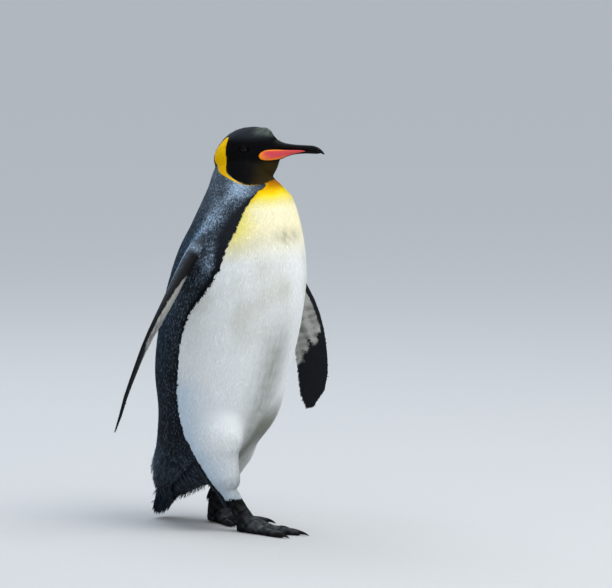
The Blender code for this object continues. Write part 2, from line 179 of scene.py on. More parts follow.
# Half of a flipper's thickness: (share of the span, metres).
FLIPPER_HALF = (
    (0.0, 0.017), (0.12, 0.016), (0.25, 0.013), (0.4, 0.009), (0.55, 0.007), (0.84, 0.0045), (1.0, 0.002),
)
# How far its white under side reaches forward: (share of the span, -1 trailing to 1 leading edge).
WHITE_REACH = {
    1: ((0.1, 0.5), (0.25, 0.58), (0.46, 0.71)),
    -1: ((0.17, 0.35), (0.2, 0.58), (0.26, 0.75), (0.45, 0.84)),
}


def in_head(points):
    return moved(points, HEAD_INVERSE)


def round_head(local):
    """Degrees from ahead, 0 to 180 on either side, for points in the head's frame."""
    return degrees(np.abs(local[:, 0]), local[:, 1] + 5 * MM)


def spine_y(height):
    return along(SPINE, height)


def round_body(points):
    """Degrees round the spine: 0 at the breast bone, + to the bird's left."""
    return degrees(points[:, 0], spine_y(points[:, 2]) - points[:, 1])


def off_middle(points):
    """Degrees round the spine from the middle line, which follows the head's turn at the throat."""
    turned = round_body(points) - HEAD_TURN * ease(0.66, 0.73, points[:, 2])
    return np.abs((turned + 180) % 360 - 180)


def flipper_axes(sign, turn=FLIPPER_TURN):
    """Ways along a flipper, out of its leading edge and out of its outer face: rows, one for each turn."""
    span = FLIPPER_AXIS * (sign, 1, 1)
    span = span / np.linalg.norm(span)
    angle = np.radians(np.atleast_1d(turn))
    lead = columns(sign * np.sin(angle), -np.cos(angle), 0.0)
    lead = unit(lead - (lead @ span)[:, None] * span)
    return span, lead, np.cross(lead, span) * sign


def on_flipper(points, sign):
    """(share of the span, -1 trailing to 1 leading edge, metres outward of the blade's middle)."""
    span, straight, outward = flipper_axes(sign)
    offset = points - FLIPPER_ROOT * (sign, 1, 1)
    share = offset @ span / FLIPPER_SPAN[sign]
    chord, edge, bow, turn = (along(FLIPPER_STATIONS, share, column)[:, None] for column in (1, 2, 3, 4))
    _, lead, outer = flipper_axes(sign, turn[:, 0])
    offset = offset - straight * (edge + chord / 2) - outward * bow
    return share, 1 + 2 * dot(offset, lead) / chord[:, 0], dot(offset, outer)


def foot_heel(side):
    """The point on the floor under a foot's heel: the end of the foot furthest from its middle claw."""
    low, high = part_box(f"foot_{side}")
    y = high.y if middle(f"claw_{side}_middle").y < low.y + 0.02 else low.y
    return Vector(((low.x + high.x) / 2, y, 0.0))


def toe_way(side):
    """Ahead for a foot, from its heel to its middle claw."""
    way = middle(f"claw_{side}_middle") - foot_heel(side)
    way.z = 0
    return np.array(way.normalized())


# --- markings

# Edge of the white front on the upper body: (height, degrees round from its middle line).
FRONT_EDGE = (
    (0.434, 91.5), (0.467, 88.0), (0.502, 78.0), (0.532, 72.0), (0.557, 68.5), (0.6, 66.0), (0.617, 64.5),
    (0.646, 57.5), (0.668, 55.0), (0.688, 57.0), (0.702, 57.5), (0.716, 53.0), (0.729, 37.0), (0.745, 33.0),
)
# Width of the pure black band beside the white front: (height, metres).
BLACK_BAND = (
    (0.4, 0.002), (0.46, 0.008), (0.5, 0.012), (0.55, 0.014), (0.575, 0.017), (0.6, 0.026), (0.622, 0.035),
    (0.646, 0.038), (0.667, 0.03), (0.688, 0.019), (0.7, 0.013), (0.714, 0.003), (0.735, 0.001),
)
# The silver streak from the ear to the shoulder:
# (height, degrees round the spine, how silvery, degrees that it reaches to the front, and to the back).
STREAK = (
    (0.56, 112, 0.06, 9, 7), (0.6, 110, 0.24, 9, 7), (0.623, 108, 0.46, 9, 6), (0.64, 101, 1.05, 9, 7),
    (0.657, 96, 0.6, 14, 9), (0.674, 94, 0.44, 15, 10), (0.69, 88, 0.34, 15, 13), (0.7, 78, 0.42, 16, 17),
    (0.708, 64, 0.8, 17, 15), (0.722, 60, 1.4, 20, 16), (0.74, 52, 1.3, 18, 20), (0.76, 48, 0.75, 16, 20),
)
FLANK_PATCH = (0.577, 80.0)  # middle of the silver-flecked patch under the flipper, in the same terms
HEAD_TURN = 24.0  # degrees that the head, and the throat with it, looks to the bird's left
# The same edge on the lower body and the right leg: (height, y).
FLANK_EDGE = (
    (0.05, -0.046), (0.064, -0.042), (0.091, -0.02), (0.136, 0.0), (0.192, 0.029), (0.214, 0.031),
    (0.248, 0.034), (0.304, 0.028), (0.379, 0.0173), (0.407, 0.012), (0.434, 0.002), (0.48, -0.03),
)
# How much further back the left leg stands: (height, metres).
LEG_STEP = (
    (0.068, 0.11), (0.086, 0.094), (0.115, 0.08), (0.16, 0.059), (0.215, 0.047), (0.3, 0.012), (0.4, 0.0),
)
# Lower edge of the black hood, in the head's frame: (degrees from ahead, height).
HOOD_EDGE = (
    (0, -0.0575), (20, -0.06), (37, -0.064), (56, -0.0665), (68, -0.0645), (87, -0.056), (108, -0.043),
    (122, -0.033), (150, -0.03), (180, -0.032),
)
# The golden ear patch, in the same terms: (degrees from ahead, its low edge, its high edge).
EAR_PATCH = (
    (38, -0.065, -0.0637), (60, -0.0672, -0.0658), (72, -0.0652, -0.0635), (88, -0.0588, -0.0556),
    (100, -0.0542, -0.0492), (112, -0.05, -0.0415), (119, -0.0476, -0.029), (123, -0.0463, 0.002),
    (127, -0.0448, 0.0235), (132, -0.0428, 0.0295), (141, -0.038, 0.0295), (149, -0.032, 0.0235),
    (155, -0.024, 0.014), (159, -0.012, 0.002), (162, -0.006, -0.006),
)
# How silvery the rest of the dark coat is: (height, share beside the front, share down the back).
SILVER_BY_HEIGHT = (
    (0.05, 0.05, 0.08), (0.12, 0.07, 0.2), (0.16, 0.04, 0.11), (0.2, 0.01, 0.02), (0.3, 0.01, 0.03),
    (0.4, 0.02, 0.05), (0.48, 0.04, 0.08), (0.54, 0.06, 0.08), (0.62, 0.09, 0.08), (0.68, 0.11, 0.13),
    (0.72, 0.14, 0.2), (0.76, 0.16, 0.26),
)

def linear(red, green, blue):
    """A colour as the eye names it, 0 to 255, in the renderer's own linear terms."""
    value = np.array((red, green, blue)) / 255.0
    return np.where(value <= 0.04045, value / 12.92, ((value + 0.055) / 1.055) ** 2.4)


WHITE = linear(236, 239, 240)
# bluish painted shade for the edge of the white, low on the right side
PAINTED_BLUE_SHADE = linear(168, 198, 224)
CREAM = linear(250, 242, 204)
PALE_YELLOW = linear(242, 230, 112)
YELLOW = linear(244, 224, 22)
GOLD = linear(240, 188, 0)
EAR_GOLD = linear(252, 200, 0)
AMBER = linear(190, 122, 0)
SHADE_GREY = linear(166, 164, 134)
# colour of the painted shade low on the front
PAINTED_UNDER_SHADE = linear(112, 114, 102)
BLACK = linear(9, 11, 15)
SHOULDER_BLACK = linear(38, 41, 47)
# dark grey: the black of a flipper's inner face with its sheen painted in
FLIPPER_SHEEN_BLACK = linear(25, 27, 31)
ARM_BROWN = linear(34, 33, 34)
DEEP = linear(7, 8, 11)
HOOD = linear(9, 9, 12)
# The next two are painted light on the crown: a painted sheen on its front, and painted light on its top.
PAINTED_CROWN_SHEEN = linear(104, 114, 106)
PAINTED_CROWN_LIGHT = linear(46, 50, 58)
SLATE = linear(44, 56, 72)
SILVER = linear(186, 214, 242)
BACK_SILVER = linear(130, 184, 232)
CHIN = linear(56, 46, 20)
PALE_UNDER = linear(226, 226, 218)
# grey for a flipper's white under side: painted shade and real mottling
SHADED_MOTTLED_UNDER = linear(92, 94, 92)
TRAILING_EDGE = linear(150, 150, 146)
FOOT_BLACK = linear(6, 7, 9)
# grey for the feet's grain and for the painted sheen on the toes
FOOT_GRAIN_AND_SHEEN_GREY = linear(112, 118, 122)
BILL_BLACK = linear(12, 11, 13)
CORAL = linear(210, 72, 88)
CORAL_LIGHT = linear(216, 80, 80)
ORANGE = linear(246, 140, 16)
PUPIL = linear(5, 4, 4)
IRIS = linear(26, 17, 12)
EYE_RIM = linear(14, 9, 7)
CLAW_BLACK = linear(14, 13, 14)

FRONT_RADIUS = 0.115  # of the body, which turns degrees beside the front's edge into metres
# How far the throat's yellow reaches in from that edge: (height, metres).
YELLOW_REACH = ((0.58, 0.046), (0.64, 0.036), (0.68, 0.016), (0.72, 0.012))


def inside_front(points):
    """How many metres a point of the body lies inside the edge of its white front."""
    height = points[:, 2]
    above = np.radians(along(FRONT_EDGE, height) - off_middle(points)) * FRONT_RADIUS
    step = np.where(points[:, 0] > 0, along(LEG_STEP, height), 0.0)
    below = along(FLANK_EDGE, height) + step - points[:, 1]
    share = ease(0.44, 0.37, height)
    return above * (1 - share) + below * share


def front_stain(points):
    """How soiled the belly is, with a smudge on the breast."""
    height = points[:, 2]
    stain = 0.05 + 0.26 * ease(-0.7, 1.7, ripple(points, 0.075, 5))
    stain += 0.14 * hump((height, 0.52, 0.06), (round_body(points), -18, 20))
    stain *= ease(0.66, 0.6, height) * ease(0.36, 0.44, height)
    smudge = hump((height, 0.624, 0.016), (points[:, 0], -0.004, 0.042))
    smudge *= np.clip(0.85 + 0.3 * ripple(points, 0.018, 15), 0.5, 1.2)
    return np.minimum(stain + 0.66 * smudge, 1)


def front_shade(points):
    """How much painted shade darkens the front low down: beside the left leg, and along the middle of the
    belly.
    """
    height, x = points[:, 2], points[:, 0]
    # painted shade between the legs and under the belly
    under = 0.92 * ease(0.315, 0.215, height) * ease(-0.034, 0.006, x) * ease(0.094, 0.04, x)
    under *= 1 - 0.4 * ease(0.21, 0.15, height) * ease(0.0, 0.03, x)
    low_front = ease(0.5, 0.36, height) * hump((round_body(points), -4, 15))
    return np.maximum(under, low_front * (0.6 + 0.06 * ripple(points * (1, 1, 0.3), 0.012, 14)))


def front_colour(points, inside):
    """White, with gold at the throat that fades down the breast, stains on the belly, painted shade low down
    and bluish painted shade low on the right side.
    """
    height = points[:, 2]
    centre = ease(0.045, 0.085, inside)  # the middle of the throat is paler than its sides
    pale = ease(0.56, 0.64, height) * hump((inside, 0, along(YELLOW_REACH, height)))
    # painted bluish shade beside the edge of the white, low on the right side
    blue_shade_share = ease(0.36, 0.28, height) * hump((inside, 0, 0.055)) * (points[:, 0] < 0)
    layers = (
        (CREAM, ease(0.56, 0.65, height)),
        (PALE_YELLOW, pale * 0.85),
        (PALE_YELLOW, ease(0.676, 0.704, height + 4 * MM * (0.5 - centre)) * 0.75),
        (YELLOW, ease(0.69, 0.713, height - 5 * MM * centre)),
        (GOLD, ease(0.704, 0.722, height - 6 * MM * centre) * (1 - 0.4 * centre)),
        (AMBER, ease(0.717, 0.731, height)),
        (GOLD, ease(0.688, 0.702, height) * hump((inside, 0, 9 * MM)) * 0.8),
        (PAINTED_BLUE_SHADE, blue_shade_share * 0.6),
        (SHADE_GREY, front_stain(points)),
        (PAINTED_UNDER_SHADE, front_shade(points)),
    )
    colour = WHITE
    for hue, share in layers:
        colour = mix(colour, hue, share)
    return colour


def silver_share(points, inside):
    """How silvery the tips of the dark feathers are."""
    height, turn = points[:, 2], np.abs(round_body(points))
    rear = ease(75, 125, turn)
    share = along(SILVER_BY_HEIGHT, height) * (1 - rear) + along(SILVER_BY_HEIGHT, height, 2) * rear
    centre, peak, front, back = (along(STREAK, height, column) for column in (1, 2, 3, 4))
    streak = hump((turn, centre, np.where(turn < centre, front, back)))
    share = share + peak * streak * ease(0.55, 0.58, height)
    share = share + 0.3 * hump((height, FLANK_PATCH[0], 0.03), (turn, FLANK_PATCH[1], 9.0))
    band = along(BLACK_BAND, height)
    share = share * ease(band * 0.6, band * 1.3 + 1.5 * MM, -inside)
    return np.clip(share * (1 + 0.16 * ripple(points, 0.035, 8) + 0.22 * ripple(points, 0.006, 9)), 0, 1.5)


def trunk_colours(points, jitter):
    """(root colour, tip colour) of the coat, but for the hood and the ear patches."""
    height = points[:, 2]
    inside = inside_front(points) + jitter * 1.5 * MM + ripple(points, 0.011, 17) * 1.2 * MM
    share = silver_share(points, inside)
    # a few tips lighter: partly the feathers' real silver tips, partly a painted glint that stands in for
    # their sheen
    silver_tip_and_glint = ease(0.72, 1.0, np.abs(jitter)) * 0.085 * (inside < -along(BLACK_BAND, height) - 2 * MM)
    silver = np.clip(share * (0.38 + 1.65 * jitter**2) + silver_tip_and_glint * ease(0.12, 0.24, height), 0, 1)
    bluish = ease(98, 125, np.abs(round_body(points))) * ease(0.7, 0.62, height)
    dark_root = mix(DEEP, SLATE, np.clip(share * 0.5, 0, 1))
    dark_tip = mix(BLACK, SHOULDER_BLACK, 0.12 + 0.88 * ease(0.5, 0.64, height))
    dark_tip = mix(dark_tip, mix(SILVER, BACK_SILVER, bluish), silver)
    front = front_colour(points, inside)
    return choose(inside > 0, (front * 0.93, front), (dark_root, dark_tip))


def hood_colour(points, local):
    """Black, brown at the chin, with painted light on the top of the crown and a painted sheen on its front.
    """
    ahead, above = local[:, 1], local[:, 2]
    black = mix(HOOD, CHIN, ease(0.02, 0.062, ahead) * ease(-0.01, -0.028, above) * 0.95)
    # painted light: the top of the head lighter, as lit from above
    black = mix(black, PAINTED_CROWN_LIGHT, ease(0.018, 0.04, above) * ease(0.066, 0.05, ahead) * 0.8)
    # painted sheen: a reflection of the sky on the front of the crown
    painted_gloss = ease(0.016, 0.044, ahead) * ease(0.028, 0.042, above)
    return mix(black, PAINTED_CROWN_SHEEN, painted_gloss * np.clip(0.62 + 0.22 * ripple(points, 0.012, 12), 0, 1))


def body_colours(points, jitter):
    """(root colour, tip colour) of the coat on head, neck, trunk, legs and tail."""
    local = in_head(points)
    turn, above = round_head(local), local[:, 2] + jitter * 0.35 * MM
    black = hood_colour(points, local)
    hood = (above > along(HOOD_EDGE, turn)) & (local[:, 2] > -0.075)
    colours = choose(hood, (black * 0.7, black), trunk_colours(points, jitter))

    patch = (above > along(EAR_PATCH, turn)) & (above < along(EAR_PATCH, turn, 2))
    patch &= (turn > 40) & (turn < 162)
    gold = mix(EAR_GOLD, AMBER, ease(0.01, -0.03, local[:, 2]) * ease(104, 125, turn) * 0.18)
    gold = mix(black, gold, 0.35 * ease(40, 60, turn) + 0.65 * ease(66, 84, turn))
    return choose(patch, (gold * 0.9, gold), colours)


def flipper_colours(points, sign, jitter):
    """Dark outer face, white inner face with a black leading edge and a black tip. Painted sheen on the black
    and the silver, painted shade on the white.
    """
    share, across, out = on_flipper(points, sign)
    inner = out < -0.3 * MM
    tip_start = 0.65 - 0.09 * across + 0.03 * ripple(points, 0.018, 3) + 0.02 * jitter
    band = along(WHITE_REACH[sign], share) + 0.04 * jitter
    white = inner & (across < band) & (share < tip_start) & (share > 0.17 + 0.02 * jitter)
    mottle = ease(-1.3, 1.5, ripple(points, 0.022, 4)) * ease(0.3, 0.5, share)
    # the white greyed: the steady part is painted shade, the mottle is the real grey mottling
    pale = mix(PALE_UNDER, SHADED_MOTTLED_UNDER, 0.4 + mottle * 0.5 + 0.1 * jitter)
    depth = out / along(FLIPPER_HALF, share)  # 1 at the outer face
    # silver of the outer face: partly its real silvery colour, partly a painted highlight along its outer
    # edge
    silver = 0.8 * ease(0.45, 0.95, depth) + 0.12 * ease(-0.3, 0.5, depth)
    silver = silver * ease(0.52, 0.14, share) + 1.1 * ease(0.06, 0.0, share) + 0.006
    dark = mix(BLACK, ARM_BROWN, ease(0.55, 0.25, share))
    # painted sheen: the black of the inner face lifted to dark grey
    dark[inner] = np.maximum(dark[inner], FLIPPER_SHEEN_BLACK)
    dark = mix(dark, SILVER, np.clip(silver * (0.5 + 0.9 * jitter**2), 0, 1))
    edge = ~inner & (across < -0.92) & (share < 0.93)
    dark = np.where(edge[:, None], TRAILING_EDGE, dark)
    colour = np.where(white[:, None], pale, dark)
    return colour * 0.8, colour


def foot_colours(points, side, jitter):
    """Black with a fine grey grain, and a painted grey sheen on top of the toes."""
    ahead = (points - np.array(foot_heel(side))) @ toe_way(side)
    # painted sheen: the tops of the toes lighter, as where light falls on them
    painted_toe_sheen = ease(0.035, 0.07, ahead) * ease(0.004, 0.016, points[:, 2])
    share = 0.03 + 0.33 * painted_toe_sheen + (0.05 + 0.12 * painted_toe_sheen) * ripple(points, 0.012, 6) + 0.05 * jitter
    colour = mix(FOOT_BLACK, FOOT_GRAIN_AND_SHEEN_GREY, np.clip(share, 0, 1))
    return colour * 0.7, colour


def plumage(points, node, jitter):
    """(root colour, tip colour) at points of the skin, the same for skin and coat."""
    root, tip = body_colours(points, jitter)
    for side, sign in SIDES:
        here = on(node, f"flipper_{side}")
        if here.any():
            low, high = flipper_colours(points[here], sign, jitter[here])
            blend = ease(-0.02, 0.05, on_flipper(points[here], sign)[0])
            root[here] = mix(root[here], low, blend)
            tip[here] = mix(tip[here], high, blend)
        here = on(node, f"foot_{side}") & (points[:, 2] < 0.07)
        if here.any():
            root[here], tip[here] = foot_colours(points[here], side, jitter[here])
    return root, tip


# --- lie of the coat


def body_flow(points):
    """The way the coat lies on the body: down it, and along its spine's slope."""
    height, x = points[:, 2], points[:, 0]
    slope = (spine_y(height + 4 * MM) - spine_y(height - 4 * MM)) / (8 * MM)
    slope = np.where(height < 0.23, slope, np.clip(slope, -0.35, 0.2))
    inward = -0.25 * np.sign(x) * ease(0.3, 0.12, height) * (np.abs(x) > 0.05)
    return unit(columns(inward, -slope, -1.0))


def head_flow(local):
    """The way it lies on the head: back from the bill, and down."""
    away = unit(local - np.array((0, 0.085, 0.004)))
    away[:, 2] -= 0.25 + 0.5 * ease(-0.01, -0.06, local[:, 1])
    return away @ HEAD_INVERSE[:3, :3]


def flow_at(points, normals, node):
    """The way the coat lies, as unit vectors in the skin."""
    height, local = points[:, 2], in_head(points)
    way = mix(body_flow(points), head_flow(local), ease(-0.075, -0.035, local[:, 2]))
    for side, sign in SIDES:
        span, lead, _ = flipper_axes(sign)
        wing = on(node, f"flipper_{side}")
        fringe = ease(-0.7, -0.95, on_flipper(points[wing], sign)[1])  # it leans out at the trailing edge
        way[wing] = span - (0.25 + 0.5 * fringe)[:, None] * lead[0]
        on_foot = on(node, f"foot_{side}")
        way[on(node, f"leg_{side}") | (on_foot & (height > 0.05))] = (-0.15 * sign, 0.27 * sign, -1)
        foot = on_foot & (height <= 0.05)
        spread = points[foot] - np.array(foot_heel(side))
        spread[:, 2] = -0.3 * np.linalg.norm(spread[:, :2], axis=1)
        way[foot] = unit(spread, 1e-9) * 0.8 + toe_way(side) * 0.6 + (0, 0, -0.2)
    way[on(node, "tail")] = (0, 0.35, -1)
    way -= normals * dot(way, normals)[:, None]
    return unit(way, 1e-9)


# --- meshes


def linked(name, mesh):
    obj = bpy.data.objects.new(name, mesh)
    bpy.context.scene.collection.objects.link(obj)
    return obj


def given(obj, slot, *nodes):
    """Hands a finished piece to the frame."""
    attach(obj, "root")
    if nodes:
        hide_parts(*nodes)


def as_mesh(shape, name):
    """The mesh of a finished bmesh."""
    mesh = bpy.data.meshes.new(name)
    shape.to_mesh(mesh)
    shape.free()
    return mesh


def settled(obj):
    """A new mesh of the object with its modifiers applied."""
    bpy.context.view_layer.update()
    graph = bpy.context.evaluated_depsgraph_get()
    mesh = bpy.data.meshes.new_from_object(obj.evaluated_get(graph))
    obj.modifiers.clear()
    obj.data = mesh
    return mesh


def read(items, field, width, kind=np.float32):
    """A field of a mesh's items, as rows."""
    flat = np.empty(len(items) * width, kind)
    items.foreach_get(field, flat)
    return flat.reshape(-1, width)


def write(items, field, values, kind=np.float32):
    items.foreach_set(field, np.asarray(values).astype(kind).ravel())


def points_of(mesh):
    return read(mesh.vertices, "co", 3).astype(float)


def normals_of(mesh):
    return read(mesh.vertex_normals, "vector", 3).astype(float)


def set_points(mesh, points):
    write(mesh.vertices, "co", points)
    mesh.update()


def paint(mesh, colours):
    """Gives a mesh its markings, one colour for each point."""
    layer = mesh.color_attributes.new("Plumage", "FLOAT_COLOR", "POINT")
    write(layer.data, "color", columns(*np.clip(colours, 0, 1).T, 1.0))


# --- skin

SKIN_VOXEL = 1.6 * MM
CLOSING = 0.45 * MM  # grown first, so that the cuts between the solids close
BLADE_GROWTH = 1.1 * MM  # the same for the flippers, whose thin edges need more
SKIN_FACES = 190_000
TAIL_NARROWS = 0.3  # how much narrower the skin is than the solid at the tip of the tail
TAIL_SHORTENS = 0.55  # how far its tip is drawn up towards the quills' roots
TAIL_RISES_BELOW = 0.055  # the height where that starts


def flesh():
    """(The solids of flesh as one object, each grown a little; a tree of their faces; each face's node)."""
    shape, faces, corners, owner = bmesh.new(), [], [], []
    for name in FLESH:
        part = bmesh.new()
        part.from_mesh(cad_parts[name].data)
        bmesh.ops.remove_doubles(part, verts=part.verts, dist=1e-5)
        bmesh.ops.recalc_face_normals(part, faces=part.faces)
        part.normal_update()
        part.verts.index_update()
        base = len(corners)
        corners += [v.co.copy() for v in part.verts]
        faces += [[v.index + base for v in f.verts] for f in part.faces]
        owner += [NODE[name]] * len(part.faces)
        growth = BLADE_GROWTH if name in WINGS else CLOSING
        for vert in part.verts:
            vert.co += vert.normal * growth
        shape.from_mesh(as_mesh(part, "grown"))
    for centre in EYES.values():  # the eye balls fill their sockets, so that the skin runs over them
        place, radius = Matrix.Translation(centre), EYE_RADIUS + 0.8 * MM
        bmesh.ops.create_uvsphere(shape, u_segments=24, v_segments=16, radius=radius, matrix=place)
    return linked("skin", as_mesh(shape, "flesh")), BVHTree.FromPolygons(corners, faces), np.array(owner)


def nearest_nodes(points, tree, owner):
    return np.array([owner[tree.find_nearest(Vector(p))[2]] for p in points])


def averager(mesh):
    """A function that gives the mean of each point's neighbours, for a column of values."""
    first, second = read(mesh.edges, "vertices", 2, np.int32).T
    size = len(mesh.vertices)
    count = np.bincount(first, minlength=size) + np.bincount(second, minlength=size)

    def mean(values):
        return (np.bincount(first, values[second], size) + np.bincount(second, values[first], size)) / count

    return mean


def relax(points, mean, weight, rounds, keep_size=True):
    """Smooths a mesh. To keep its size, every second round pushes out again."""
    for turn in range(rounds):
        step = np.column_stack([mean(column) for column in points.T]) - points
        points = points + step * weight[:, None] * (-0.605 if keep_size and turn % 2 else 0.6)
    return points


def blur(values, mean, rounds):
    for _ in range(rounds):
        values = 0.5 * values + 0.5 * mean(values)
    return values


def coat_depth(points, node):
    """How far the skin lies under the outer form."""
    height = points[:, 2]
    head = ease(-0.085, -0.045, in_head(points)[:, 2])
    depth = np.where(inside_front(points) > 0, 1.3 * MM, 1.8 * MM)
    depth = depth + 2.0 * MM * ease(0.22, 0.14, height) * (points[:, 1] > 0.06)
    depth = depth * (1 - head) + 0.5 * MM * head
    depth[on(node, *WINGS)] = 0.45 * MM + BLADE_GROWTH - CLOSING
    depth[on(node, *FEET)] = 0.3 * MM
    leg = on(node, *LEGS)
    depth[leg] = np.interp(height[leg], (0.07, 0.13), (1.0 * MM, 1.6 * MM))
    depth[on(node, "tail")] = 1.6 * MM
    return depth + CLOSING


def fullness(points, normals):
    """How far the coat stands out at brow, chin, the belly beside the left leg, and over the right ankle."""
    _, ahead, above = in_head(points).T
    x, y, height = points.T
    brow = hump((ahead, 0.047, 0.007), (above, 0.043, 0.008))
    dip = hump((ahead, 0.061, 0.006), (above, 0.033, 0.006))
    chin = ease(0.034, 0.05, ahead) * hump((above, -0.036, 0.014))
    facing = ease(0.25, 0.95, normals @ np.array((0.68, -0.73, 0.0)))
    facing = facing * ease(0.126, 0.096, x) * (above < -0.2)
    belly = 5.5 * hump((height, 0.238, 0.045)) * ease(-0.04, 0.0, x)
    hem = 4.5 * hump((height, 0.14, 0.024)) * ease(0.01, 0.02, x)
    cuff = 3.4 * hump((height, 0.106, 0.018)) * ease(0.04, 0.0, y) * ease(0.0, -0.02, x)
    return (1.9 * brow - 0.8 * dip + 1.6 * chin + (belly + hem) * facing + cuff) * MM


def smoothed(mesh, points, node, mean):
    """The skin without the solids' facets, and without creases at the hips, at its full size."""
    before, local = points, in_head(points)
    soft = np.ones(len(points))
    soft[on(node, *WINGS, *FEET)] = 0.1
    soft[on(node, "tail")] = 0.15
    soft[on(node, "head") & (local[:, 1] > 0.03)] = 0.45
    points = relax(points, mean, blur(soft, mean, 6), 40)
    broad = (soft == 1.0) & (local[:, 2] < -0.07)
    broad = blur(broad.astype(float), mean, 25) * ease(0.085, 0.14, points[:, 2])
    points = relax(points, mean, broad, 90, keep_size=False)
    hip = ease(0.19, 0.24, points[:, 2]) * ease(0.38, 0.32, points[:, 2]) * (soft == 1.0)
    hip = blur(hip, mean, 10)
    points = relax(points, mean, hip, 260, keep_size=False)
    kept = 1.0 - 0.5 * hip * ease(-0.03, -0.07, points[:, 0])
    for rounds in (180, 120, 90):  # what the smoothing took off the broad forms is put back
        set_points(mesh, points)
        lost = dot(before - points, normals_of(mesh)) * (soft == 1.0) * kept
        points = points + normals_of(mesh) * blur(lost, mean, rounds)[:, None]
        kept = ease(0.36, 0.42, points[:, 2])  # on the hips once only, or their creases come back
    return points


def make_skin():
    """One closed skin over all flesh, under the coat by its depth. Returns (object, node of each point)."""
    obj, tree, owner = flesh()
    remesh = obj.modifiers.new("one_skin", "REMESH")
    remesh.mode = "VOXEL"
    remesh.voxel_size = SKIN_VOXEL
    mesh = settled(obj)
    mean = averager(mesh)
    node = nearest_nodes(points_of(mesh), tree, owner)
    points = smoothed(mesh, points_of(mesh), node, mean)
    set_points(mesh, points)
    points = points + normals_of(mesh) * fullness(points, normals_of(mesh))[:, None]
    quill_end = blur(on(node, "tail") * ease(0.085, 0.02, points[:, 2]), mean, 8)
    points[:, 0] *= 1 - TAIL_NARROWS * quill_end
    points[:, 2] += np.maximum(TAIL_RISES_BELOW - points[:, 2], 0) * TAIL_SHORTENS * quill_end
    points[:, 1] -= np.maximum(TAIL_RISES_BELOW - points[:, 2], 0) * 0.2 * quill_end
    set_points(mesh, points)
    depth = blur(coat_depth(points, node), mean, 12)
    set_points(mesh, points - normals_of(mesh) * depth[:, None])
    thin = obj.modifiers.new("thin", "DECIMATE")
    thin.ratio = min(1.0, SKIN_FACES / (2 * len(mesh.polygons)))
    mesh = settled(obj)
    mesh.shade_smooth()
    return obj, nearest_nodes(points_of(mesh), tree, owner)


# --- eyelids

LID_LONG, LID_HIGH = 7.0 * MM, 2.3 * MM  # half the opening
LID_AHEAD, LID_ABOVE = 9.8 * MM, 5.0 * MM  # its middle, from the head's centre
LID_COS, LID_SIN = math.cos(math.radians(4)), math.sin(math.radians(4))  # of its tilt
LID_THICK = 0.75 * MM
LID_REACH = 8.5 * MM
LID_RINGS, LID_CORNERS = 26, 72


def lid_distance(local):
    """How far outside the lids' opening a point of the head's frame lies."""
    ahead, above = local[:, 1] - LID_AHEAD, local[:, 2] - LID_ABOVE
    x, z = ahead * LID_COS + above * LID_SIN, above * LID_COS - ahead * LID_SIN
    angle = np.arctan2(z / LID_HIGH, x / LID_LONG)
    return np.hypot(x, z) - np.hypot(LID_LONG * np.cos(angle), LID_HIGH * np.sin(angle))


def sink_under_lids(mesh):
    """Pushes the skin in behind the eye ball where the lids will lie. Returns where it did."""
    local = in_head(points_of(mesh))
    push = 5.0 * MM * ease(LID_REACH - 2.0 * MM, 1.0 * MM, lid_distance(local)) * (np.abs(local[:, 0]) > 0.02)
    local[:, 0] -= np.sign(local[:, 0]) * push
    set_points(mesh, moved(local, HEAD))
    return push > 0.4 * MM


def lid_ring(side, sign, surface, reach):
    """The points of a lid at one distance from its opening: a rounded rim on the ball, then folds."""
    centre, to_head, turned = HEAD.inverted() @ EYES[side], HEAD.inverted(), HEAD.to_3x3()
    c, s = circle(LID_CORNERS)
    pointed = 1.0 + 0.16 * np.abs(c) ** 6 * (1 - reach / LID_REACH)
    x, z = (LID_LONG + reach * 0.95) * c * pointed, (LID_HIGH + reach) * s
    ahead, above = LID_AHEAD + x * LID_COS - z * LID_SIN, LID_ABOVE + z * LID_COS + x * LID_SIN
    from_axis = np.hypot(ahead - centre.y, above - centre.z)
    ball = abs(centre.x) + np.sqrt(np.maximum(EYE_RADIUS**2 - from_axis**2, 0.0))
    skin = ball.copy()
    for k, start in enumerate(moved(columns(-sign * 0.08, ahead, above), HEAD)):
        hit = surface.ray_cast(Vector(start), turned @ Vector((sign, 0, 0)))[0]
        if hit:
            skin[k] = abs((to_head @ hit).x)
    lid = ball + 0.1 * MM + LID_THICK * (1 - math.exp(-((reach / (0.8 * MM)) ** 1.2)))
    share = ease(2.2 * MM, 6.2 * MM, reach)
    out = lid * (1 - share) + (skin - 0.05 * MM) * share
    fold = math.sin(math.pi * min(1.0, reach / (7.5 * MM)))
    out += 0.42 * MM * fold * np.maximum(0.0, -s) ** 0.7 * math.cos(2 * math.pi * reach / (2.3 * MM) + 2.4)
    out += 0.55 * MM * fold * np.maximum(0.0, s) ** 0.7 * math.cos(2 * math.pi * reach / (3.4 * MM) + 2.9)
    out -= 0.9 * MM * max(0.0, (reach - 7.3 * MM) / (1.2 * MM))  # its edge dives under the skin
    return moved(columns(-sign * out, ahead, above), HEAD)


